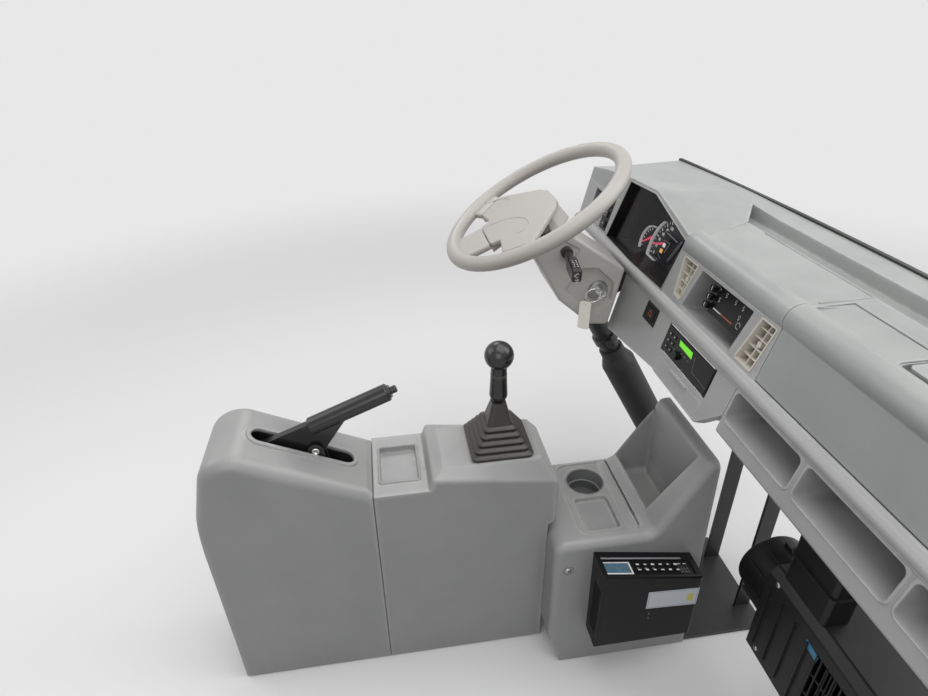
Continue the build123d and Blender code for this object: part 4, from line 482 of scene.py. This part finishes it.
def barLine(a, b, width):
    along = Vector((b[0] - a[0], b[1] - a[1])).normalized() * width / 2
    return [(a[0] - along.y, a[1] + along.x), (a[0] + along.y, a[1] - along.x),
            (b[0] + along.y, b[1] - along.x), (b[0] - along.y, b[1] + along.x)]


def boxLine(x, y, w, h):
    return [(x - w / 2, y - h / 2), (x + w / 2, y - h / 2), (x + w / 2, y + h / 2), (x - w / 2, y + h / 2)]


def barLines(rows):
    return [barLine(*row) for row in rows]


def boxLines(rows):
    return [boxLine(*row) for row in rows]


def arcPoints(centre, radius, start, end, steps=24):
    turns = [radians(start + (end - start) * i / steps) for i in range(steps + 1)]
    return [(centre[0] + radius * cos(t), centre[1] + radius * sin(t)) for t in turns]


def addBand(bm, centre, radii, arc, low, high, steps=24):
    inner, outer = (arcPoints(centre, radius, *arc, steps) for radius in radii)
    for a, b, c, d in zip(outer, outer[1:], inner[1:], inner):
        addPlate(bm, [a, b, c, d], low, high, fineChamfer)


# Each round cuts every corner at a quarter of its runs
def smoothPath(points, rounds=3):
    for _ in range(rounds):
        cut = [points[0]]
        for a, b in zip(points, points[1:]):
            cut += [tuple(p * 0.75 + q * 0.25 for p, q in zip(a, b)), tuple(p * 0.25 + q * 0.75 for p, q in zip(a, b))]
        points = cut + [points[-1]]
    return points


def heightOn(nodeName, x, y):
    hit, place, _, _ = nodes[nodeName].ray_cast(Vector((x / 1000, y / 1000, 2)), Vector((0, 0, -1)))
    return (place.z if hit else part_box(nodeName)[1][2]) * 1000


def finishPiece(name, bm, place, look, body="frame", smooth=False):
    bmesh.ops.remove_doubles(bm, verts=bm.verts, dist=0.001)
    bmesh.ops.recalc_face_normals(bm, faces=bm.faces)
    mesh = bpy.data.meshes.new(name)
    bm.to_mesh(mesh)
    bm.free()
    mesh.transform(place)
    for face in mesh.polygons:
        face.use_smooth = smooth
    mesh.materials.append(mats[look])
    obj = addObject(name, mesh)
    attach(obj, body)
    return obj


def plates(name, outlines, low, high, place, look, body="frame", chamfer=plateChamfer):
    bm = bmesh.new()
    for outline in outlines:
        addPlate(bm, outline, low, high, min(chamfer, (high - low) / 2))
    return finishPiece(name, bm, place, look, body)


# Flat pieces on one plane, from a table of name: (low, high, finish, outlines)
def flats(table, place):
    for name, (low, high, look, outlines) in table.items():
        plates(name, outlines, low, high, place, look)


def turned(name, centre, profile, place, look, body="frame", steps=32):
    bm = bmesh.new()
    addTurned(bm, centre, profile, steps)
    return finishPiece(name, bm, place, look, body, smooth=True)


def tubes(name, paths, place, look, body="frame", steps=8, closed=False):
    bm = bmesh.new()
    for points, radius in paths:
        addTube(bm, points, radius, closed, steps)
    return finishPiece(name, bm, place, look, body, smooth=True)


def words(name, entries, size, height, place, look):
    bm = bmesh.new()
    for text, x, y in entries:
        curve = bpy.data.curves.new(name, "FONT")
        curve.body, curve.size, curve.extrude = text, size, 0.1
        curve.align_x, curve.align_y = "CENTER", "CENTER"
        shape = bpy.data.objects.new(name, curve)
        mesh = bpy.data.meshes.new_from_object(shape)
        mesh.transform(Matrix.Translation((x, y, height)))
        bm.from_mesh(mesh)
        bpy.data.objects.remove(shape)
        bpy.data.meshes.remove(mesh)
    return finishPiece(name, bm, place, look)


# Dials: replaces the plain plate behind the lens
dialLook = {
    "large": (-273, 25), "largeR": 75, "small": (-356, 22), "smallR": 37,
    "low": 4.5,  # the dials end there
    "back": -67.5, "plateTop": -63.5, "dialTop": -62.3, "ringTop": -56.5, "smallRingTop": -57.5,
    "plate": [(-295, -0.2), (-154.8, 3.9), (-139.3, 98), (-290, 135.1), (-405.6, 128.2), (-433.8, 3.9)],
    "largeCorners": [(-273, 4.5), (-219, 4.5), (-262, 96)], "largeFrom": 98,  # the arcs start there, degrees
    "smallCorners": [(-352, 4.5), (-349, 20), (-345, 48)], "smallFrom": 60,
    "largeRing": 2.6, "largeRingFrom": 132, "smallRing": 2.2, "smallRingFrom": 86,
    "ringFoot": ((-346, 3.9), (-312, 3.9), 2.2),
    "ticks": 12, "tickStart": 6, "tickStep": 7.5,  # degrees past the arc's end
    "tickOuter": 3, "tickLong": (10, 1.6), "tickShort": (7, 0.9),  # in from the edge, width
    "numberIn": 18, "numberSize": 9,
    "smallTicks": 7, "smallTickStart": 8, "smallTickStep": 15, "smallTickSpan": (2, 7), "smallTickWidth": 1.2,
    "tickRise": 0.3, "numberRise": 0.2, "needleRise": (0.4, 2), "hubRise": 1,  # above the dials
    "needles": [[(-346, 26.6), (-346, 28.8), (-303, 46.5), (-301, 41.5)],
                [(-388, 15.6), (-388.5, 18), (-362, 37), (-359.5, 33)]],
    "hubs": [(-361, 35, 7, 7), (-304, 44, 6, 6)],
}


def polar(centre, radius, turn):
    return centre[0] + radius * cos(turn), centre[1] + radius * sin(turn)


def makeDials(values):
    large, small, largeR, smallR = (values[key] for key in ("large", "small", "largeR", "smallR"))
    plateTop, dialTop, ringTop = values["plateTop"], values["dialTop"], values["ringTop"]
    largeEnd = 180 + degrees(asin((large[1] - values["low"]) / largeR))
    smallEnd = 180 + degrees(asin((small[1] - values["low"]) / smallR))
    plate = plates("dialBack", [values["plate"]], values["back"], plateTop, facePlane, "dialBlack")
    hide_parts("dial_plate")
    plates("dialLarge", [values["largeCorners"] + arcPoints(large, largeR, values["largeFrom"], largeEnd)[1:]],
           plateTop, dialTop, facePlane, "dialGrey")
    plates("dialSmall", [arcPoints(small, smallR, values["smallFrom"], smallEnd) + values["smallCorners"]],
           plateTop, dialTop, facePlane, "dialBlack")
    bm = bmesh.new()
    addBand(bm, large, (largeR, largeR + values["largeRing"]), (values["largeRingFrom"], largeEnd), plateTop, ringTop)
    addPlate(bm, barLine(*values["ringFoot"]), plateTop, ringTop)
    addBand(bm, small, (smallR, smallR + values["smallRing"]), (values["smallRingFrom"], smallEnd), plateTop,
            values["smallRingTop"])
    # The rings' faint glow is a painted sheen
    finishPiece("dialRings", bm, facePlane, "ringSilverPaintedGlow")
    ticks, numbers = [], []
    for i in range(values["ticks"]):
        turn = radians(largeEnd - values["tickStart"] - i * values["tickStep"])
        inward, width = values["tickShort"] if i % 2 else values["tickLong"]
        ticks.append(barLine(polar(large, largeR - values["tickOuter"], turn), polar(large, largeR - inward, turn),
                             width))
        if i % 2 == 0:
            numbers.append((str(i * 10), *polar(large, largeR - values["numberIn"], turn)))
    for i in range(values["smallTicks"]):
        turn = radians(smallEnd - values["smallTickStart"] - i * values["smallTickStep"])
        ends = [polar(small, smallR - inward, turn) for inward in values["smallTickSpan"]]
        ticks.append(barLine(*ends, values["smallTickWidth"]))
    plates("dialTicks", ticks, dialTop, dialTop + values["tickRise"], facePlane, "dialWhite")
    words("dialNumbers", numbers, values["numberSize"], dialTop + values["numberRise"], facePlane, "dialWhite")
    bm = bmesh.new()
    low, high = (dialTop + rise for rise in values["needleRise"])
    for outline in values["needles"]:
        addPlate(bm, outline, low, high)
    for outline in boxLines(values["hubs"]):
        addPlate(bm, outline, dialTop, dialTop + values["hubRise"])
    # The needles' red glow is painted light
    finishPiece("needles", bm, facePlane, "needleRedPaintedGlow")


makeDials(dialLook)

# Warning lamps beside the dials
flats({
    "lampPanel": (-63.5, -60.3, "dialBlack", [
        [(-309, 69), (-236, 74), (-262, 6), (-322, 6), (-322, 12), (-306, 24), (-304, 54)]]),
    "lampOrange": (-60.3, -58.6, "lampOrange", boxLines([(-300, 29, 8.5, 8)])),
    "lampWhite": (-60.3, -58.6, "dialWhite", boxLines([(-297, 42, 8, 8)])),
    "lampLines": (-60.3, -59.9, "lineLilac", barLines([
        ((-304, 66), (-257, 63), 1.8), ((-240, 71), (-264, 21), 1.0), ((-245, 69), (-269, 19), 0.8),
        ((-303, 50), (-280, 52), 0.9), ((-280, 52), (-288, 29), 1.2), ((-317, 11), (-300, 9), 0.9),
        ((-309, 19), (-293, 15), 0.9)])),
}, facePlane)

# Painted shade lines where the clear cover's moulded folds show dark, and a pale bead round the opening that paints
# the lip's highlight
coverLook = {
    # path, radius
    "foldShadeLines": [([(-412, 124, -13.8), (-386, 92, -14), (-366, 56, -14), (-352, 20, -14)], 0.7),
              ([(-433, 6, -14), (-410, 12, -14), (-380, 18, -14), (-352, 20, -14)], 0.5)],
    "edge": [(-295, -3), (-152, 1), (-136, 100), (-290, 138), (-408, 131), (-437, 1)],
    "lipHighlightHeight": 0.5, "lipHighlightRadius": 1.3,
}
# Dark tubes: painted shade of the cover's folds, which are clear
tubes("lensFoldShadeLines", [(smoothPath(path), radius) for path, radius in coverLook["foldShadeLines"]], facePlane, "satinBlack")
lipHighlightPath = [(x, y, coverLook["lipHighlightHeight"]) for x, y in coverLook["edge"]]
# Pale bead: a painted highlight along the lip of the opening
tubes("clusterLipHighlight", [(lipHighlightPath, coverLook["lipHighlightRadius"])], facePlane, "lipHighlightGrey", closed=True)

# Radio
flats({
    "radioDisplay": (5.8, 6.3, "displayGreen", [[(-31, -36.5), (-28, -45), (15, -46.5), (12, -36)]]),
    "radioMarks": (7.0, 7.4, "markWhite", boxLines([
        (-62, -40.5, 2.4, 2.4), (-48, -40.5, 2.2, 2.2), (-62, -52.5, 2.4, 2.4), (-48, -52.5, 2.2, 2.2),
        (-62, -64.5, 2.4, 2.2), (-48, -64.5, 3.0, 1.4)])),
    "radioPrint": (5.85, 6.1, "markGrey", boxLines([
        (-37, -57, 4, 1.5), (-14, -53, 4, 1.6), (-3, -53, 6, 1.3), (9, -54, 5, 1.1)])
        + barLines([((22, -39), (29, -62), 0.7), ((29, -62), (74, -64), 0.5)])),
    "radioTrim": (3.6, 4.6, "chrome", barLines([
        ((-74, -27.8), (74, -27.8), 1.3), ((-66, -77.2), (72, -77.2), 0.8)])),
}, facePlane)

# Heater panel: symbols, the cold-to-hot band and the knobs' marks
heaterLook = {
    "low": -3.05, "high": -2.7,
    "symbols": [(-2, 70), (17, 71), (43, 71), (63, 71), (5, 58), (63, 56)],
    "symbolRadii": (1.6, 2.3), "symbolArc": (20, 320), "stroke": (1.5, -5, -3.4, 1.1),  # half length, ends, width
    "fan": (68, 44), "fanRadii": (4.4, 5.2), "fanArc": (0, 300),
}


def makeSymbols(values):
    low, high = values["low"], values["high"]
    reach, start, end, width = values["stroke"]
    bm = bmesh.new()
    for x, y in values["symbols"]:
        addBand(bm, (x, y), values["symbolRadii"], values["symbolArc"], low, high, 10)
        addPlate(bm, barLine((x - reach, y + start), (x + reach, y + end), width), low, high, fineChamfer)
    addBand(bm, values["fan"], values["fanRadii"], values["fanArc"], low, high, 14)
    finishPiece("heaterSymbols", bm, facePlane, "markWhite")


makeSymbols(heaterLook)
flats({
    "heaterBandCold": (-3.05, -2.7, "markWhite", [[(-2, 38.6), (22, 38.8), (22, 40.6), (-2, 40.8)]]),
    "heaterBandHot": (-3.05, -2.75, "markRed", [[(22, 38.8), (54, 38.4), (54, 40.9), (22, 40.6)]]),
    "heaterKnobMarks": (4.95, 5.3, "markWhite", boxLines([
        (-13, 67.2, 1.6, 7), (-14, 53.2, 1.6, 7), (-15, 39.2, 1.6, 7)])),
}, facePlane)

# Hazard triangle and switch marks
hazardLook = {"at": (-146, -45), "radius": 7.5, "width": 1.5, "low": 6.3, "high": 6.8}
corners = arcPoints(hazardLook["at"], hazardLook["radius"], 90, 450, 3)
plates("hazardTriangle", [barLine(a, b, hazardLook["width"]) for a, b in zip(corners, corners[1:])],
       hazardLook["low"], hazardLook["high"], facePlane, "markRed", chamfer=fineChamfer)
flats({
    "switchMarks": (3.95, 4.3, "markWhite", boxLines([
        (-469, 64, 12, 1.6), (-469, 45, 14, 1.8), (-469, 38, 8, 1.2), (-469, 20, 7, 1.4)])),
}, facePlane)

# Wheel: raised tongues of the pad
wheelLook = {
    "ridge": 2.3,  # radius of the rounded ridges, mostly sunk
    "tongues": [
        [(-141, -76, -1.6), (-131, -54, -2.6), (-114, -37, -3.2), (-96, -31, -3.2), (-82, -33, -3.2),
         (-76, -43, -3.6)],
        [(-38, -104, -3.4), (-31, -90, -3.2), (-14, -56, -3.2), (14, -34, -3.2), (43, -25, -3.2), (66, -29, -3.2),
         (75, -42, -3.2), (70, -58, -3.6)],
    ],
}
tubes("padTongues", [(smoothPath(line), wheelLook["ridge"]) for line in wheelLook["tongues"]], columnPlane,
      "wheelGrey", "wheel", steps=12)

# Marks on the right stalk: on its top and on its tip
stalkLook = {
    "top": (13.7, 14.3), "tip": (-0.3, 0.35),  # low, high
    "topMarks": [(62, 3, 3, 1.4), (62, -3, 3, 1.4), (69, 3, 4, 1.4), (69, -3, 2, 3), (77, 3, 3, 2),
                 (77, -2, 5, 1.4), (85, 3, 2, 3), (85, -3, 3, 1.4)],
    "tipArc": ((0, 3), (3.0, 4.1), (30, 300)),  # centre, radii, degrees
    "tipMarks": [(0, -5, 7, 1.3), (0, -8.5, 5, 1.3), (-5, 3, 1.2, 3)],
}
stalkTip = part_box("stalk_right")[1][0]
tipPlane = planeAt((stalkTip, -0.0625, 0.6625), (0, 1, 0), (0, 0, 1))
topPlane = planeAt((-0.248, -0.051, 0.668), (1, -0.12, -0.05), (0.12, 1, 0))
plates("stalkMarks", boxLines(stalkLook["topMarks"]), *stalkLook["top"], topPlane, "markWhite", chamfer=fineChamfer)
bm = bmesh.new()
addBand(bm, *stalkLook["tipArc"], *stalkLook["tip"], 14)
for outline in boxLines(stalkLook["tipMarks"]):
    addPlate(bm, outline, *stalkLook["tip"], fineChamfer)
finishPiece("stalkTipMarks", bm, tipPlane, "markWhite")

# Key ring and blank tag
keyLook = {
    "ringRadius": 14, "ringWire": 1.0,
    "tagTop": [(11.5, -4), (7.5, 0), (-7.5, 0), (-11.5, -4)],
    "tagCorners": [(-7.5, -54), (7.5, -54)], "tagRounding": 4,
    "tagHeights": (-0.6, 0.6),
    "eyelet": [(2.6, 0.5), (2.6, 0.9), (1.4, 0.9), (1.4, 0.55)], "eyeletAt": (0, -4),
}
ringPlane = planeAt((-0.238, 0.004, 0.581), (0.1, 1, 0), (0, 0, 1))
tagPlane = planeAt((-0.236, -0.0105, 0.571), (0.57, 0.82, 0), (0, 0.097, 0.995))
ringPath = [(*p, 0) for p in arcPoints((0, 0), keyLook["ringRadius"], 0, 345, 23)]
tubes("keyRing", [(ringPath, keyLook["ringWire"])], ringPlane, "chrome", closed=True)
tagLine = list(keyLook["tagTop"])
for corner, start in zip(keyLook["tagCorners"], (180, 270)):
    tagLine += arcPoints(corner, keyLook["tagRounding"], start, start + 90, 5)
plates("keyTag", [tagLine[::-1]], *keyLook["tagHeights"], tagPlane, "tagCream")
turned("keyTagEyelet", keyLook["eyeletAt"], keyLook["eyelet"], tagPlane, "chrome", steps=16)

# Control box: display, keys' marks, blank label and the strip along the tower
boxTop = planeAt((0.160, -0.083, 0.272), (0, 177, -32), (-1, 0, 0))
boxSide = planeAt((0.160, 0, 0), (0, 1, 0), (0, 0, 1))
boxLook = {
    "keyFirst": 68, "keyStep": 14, "keyCount": 6, "keyRows": (14.5, 25.5),
    "markWidth": (6, -0.7), "markDepth": (2.2, 0.6),  # first, and change from mark to mark in threes
    "markHeights": (0.95, 1.3),
    "strokes": [(68, 20, 3, 1.2), (82, 20, 4, 1.2), (96, 20, 3, 1.2), (146, 29, 9, 1.6), (158, 29, 6, 1.6)],
    "strokeHeights": (-2.05, -1.7),
}


def makeBoxMarks(values):
    bm = bmesh.new()
    for i in range(values["keyCount"]):
        for j, v in enumerate(values["keyRows"]):
            width = values["markWidth"][0] + values["markWidth"][1] * ((i + j) % 3)
            depth = values["markDepth"][0] + values["markDepth"][1] * ((2 * i + j) % 3)
            mark = boxLine(values["keyFirst"] + values["keyStep"] * i, v, width, depth)
            addPlate(bm, mark, *values["markHeights"], fineChamfer)
    for outline in boxLines(values["strokes"]):
        addPlate(bm, outline, *values["strokeHeights"], fineChamfer)
    finishPiece("boxMarks", bm, boxTop, "markWhite")


flats({
    "boxDisplayFrame": (-2.05, -1.1, "markWhite", boxLines([(30, 20, 52, 25)])),
    "boxDisplay": (-1.15, -0.8, "lcdBlue", boxLines([(30, 20, 46, 20)])),
}, boxTop)
makeBoxMarks(boxLook)
flats({
    "boxPrint": (-2.05, -1.75, "markGrey", barLines([((145 + 5 * i, 10), (144 + 5 * i, 24), 0.8) for i in range(4)])
                 + boxLines([(151, 12, 14, 0.8), (151, 18, 14, 0.7)])),
    "boxStrip": (-0.1, 0.5, "markGrey", boxLines([(81, 39, 148, 3.4)])),
}, boxTop)
flats({
    "boxLabel": (-0.1, 0.35, "labelPale", [[(0, 177), (92, 171), (92, 213), (0, 219)]]),
    "boxLabelLine": (0.3, 0.45, "markGrey", barLines([
        ((2.5, 179.5), (89.5, 174), 0.5), ((2.5, 216.5), (89.5, 211), 0.5),
        ((2.5, 179.5), (2.5, 216.5), 0.5), ((89.5, 174), (89.5, 211), 0.5)])),
    "boxLabelPatch": (0.3, 0.5, "labelYellow", [[(72, 183), (83, 182.4), (83, 200.4), (72, 201)]]),
    "boxLamps": (-0.1, 0.6, "markGrey", boxLines([(8, 162, 2.4, 2.4), (8, 152, 2.4, 2.4)])),
}, boxSide)

# Screws: a head with a cross slot, on the tower in a round seat; the handbrake's pivot has a plain nut
screwLook = {
    # radius and height, from the rim to the middle
    "seat": [(9.5, -2.5), (9.5, 0.5), (8.6, 0.9), (7.6, 0.5), (7.0, -1.2), (0.1, -1.3)],
    "head": [(5.6, -1.4), (5.6, 0.2), (4.6, 1.1), (2.4, 1.6), (0.1, 1.7)],
    "pivot": [(6.4, -0.2), (6.4, 0.9), (5.4, 1.5), (3.6, 1.5), (3.2, 0.6), (0.1, 0.6)],
    "slotReach": 2.4, "slotWidth": 1.0, "slotHeights": (1.2, 1.85),
    "towerAt": (-125, 235),
    "heaterAt": [(250, 318), (460, 318), (250, 166), (460, 166)], "heaterSize": 0.8,
    "pivotAt": (-526, 458),
}
towerPlane = planeAt((0.1180, 0, 0), (0, 1, 0), (-18, 0, 430))
pivotPlane = planeAt((-0.005, 0, 0), (0, 1, 0), (0, 0, 1))


def screw(name, at, place, seatLook=None, size=1.0):
    turned(name, at, [(r * size, z * size) for r, z in screwLook["head"]], place, "bareSteel", steps=20)
    reach, width = screwLook["slotReach"] * size, screwLook["slotWidth"] * size
    low, high = (height * size for height in screwLook["slotHeights"])
    plates(name + "Slot", [barLine((at[0] - reach, at[1]), (at[0] + reach, at[1]), width),
                           barLine((at[0], at[1] - reach), (at[0], at[1] + reach), width)],
           low, high, place, "satinBlack")
    if seatLook:
        turned(name + "Seat", at, [(r * size, z * size) for r, z in screwLook["seat"]], place, seatLook, steps=28)


screw("towerScrew", screwLook["towerAt"], towerPlane, "binGrey")
for i, at in enumerate(screwLook["heaterAt"]):
    screw(f"heaterScrew{i}", at, heaterFront, size=screwLook["heaterSize"])
turned("brakePivotNut", screwLook["pivotAt"], screwLook["pivot"], pivotPlane, "chrome", "handbrake", steps=24)

# Boot: a copy of the boot's mesh stands in for the part, which is hidden
boot = addObject("bootPleats", nodes["gear_boot"].data.copy())
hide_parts("gear_boot")
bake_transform(boot)

# Satin sleeve on the gear lever
sleeveLook = {
    "axis": (-0.018, -0.226, 0),
    "profile": [(9, 523.4), (12.6, 523.6), (13.5, 525), (13.3, 532), (12.9, 545), (13.1, 558), (13.5, 567),
                (12.6, 568.8), (9, 569)],
}
gearAxis = planeAt(sleeveLook["axis"], (1, 0, 0), (0, 1, 0))
turned("gearSleeve", (0, 0), sleeveLook["profile"], gearAxis, "sleeveBrown", "gear")

# Heater: fins on its front and a blank sticker on its top edge
finLook = {"count": 12, "width": 1.4, "margin": 8, "sunk": 1, "proud": 1.5}


def makeFins(values):
    low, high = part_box("heater_grille")
    step = (high[0] - low[0]) / values["count"]
    front = (heaterFront.translation.y - low[1]) * 1000
    middle, length = (low[2] + high[2]) * 500, (high[2] - low[2]) * 1000 - values["margin"]
    bars = [boxLine((low[0] + step * (i + 0.5)) * 1000, middle, values["width"], length)
            for i in range(values["count"])]
    plates("heaterFins", bars, front - values["sunk"], front + values["proud"], heaterFront, "satinBlack")


makeFins(finLook)
flats({"heaterSticker": (-0.1, 0.3, "stickerBlue", [[(327, 289), (327, 301), (354, 297), (353, 285)]])}, heaterFront)

# Beads moulded on the dash top and along the deck of the front tower
beads = {
    # name: node that carries it, points, how far back its height is taken, radius, finish
    "topBead": ("dash_pad", [(-112, 247), (-40, 247), (50, 247), (100, 247), (141, 247), (141, 205), (141, 168)],
                0, 1.5, "dashTop"),
    "deckBead": ("front_console", [(-74, -5), (-30, -2.5), (30, 0.5), (76, 3)], 9, 2.2, "consoleGrey"),
}
for name, (carrier, line, back, radius, look) in beads.items():
    path = [(x, y, heightOn(carrier, x, y - back)) for x, y in line]
    tubes(name, [(path, radius)], upright, look, steps=10)
print("stage: pieces")
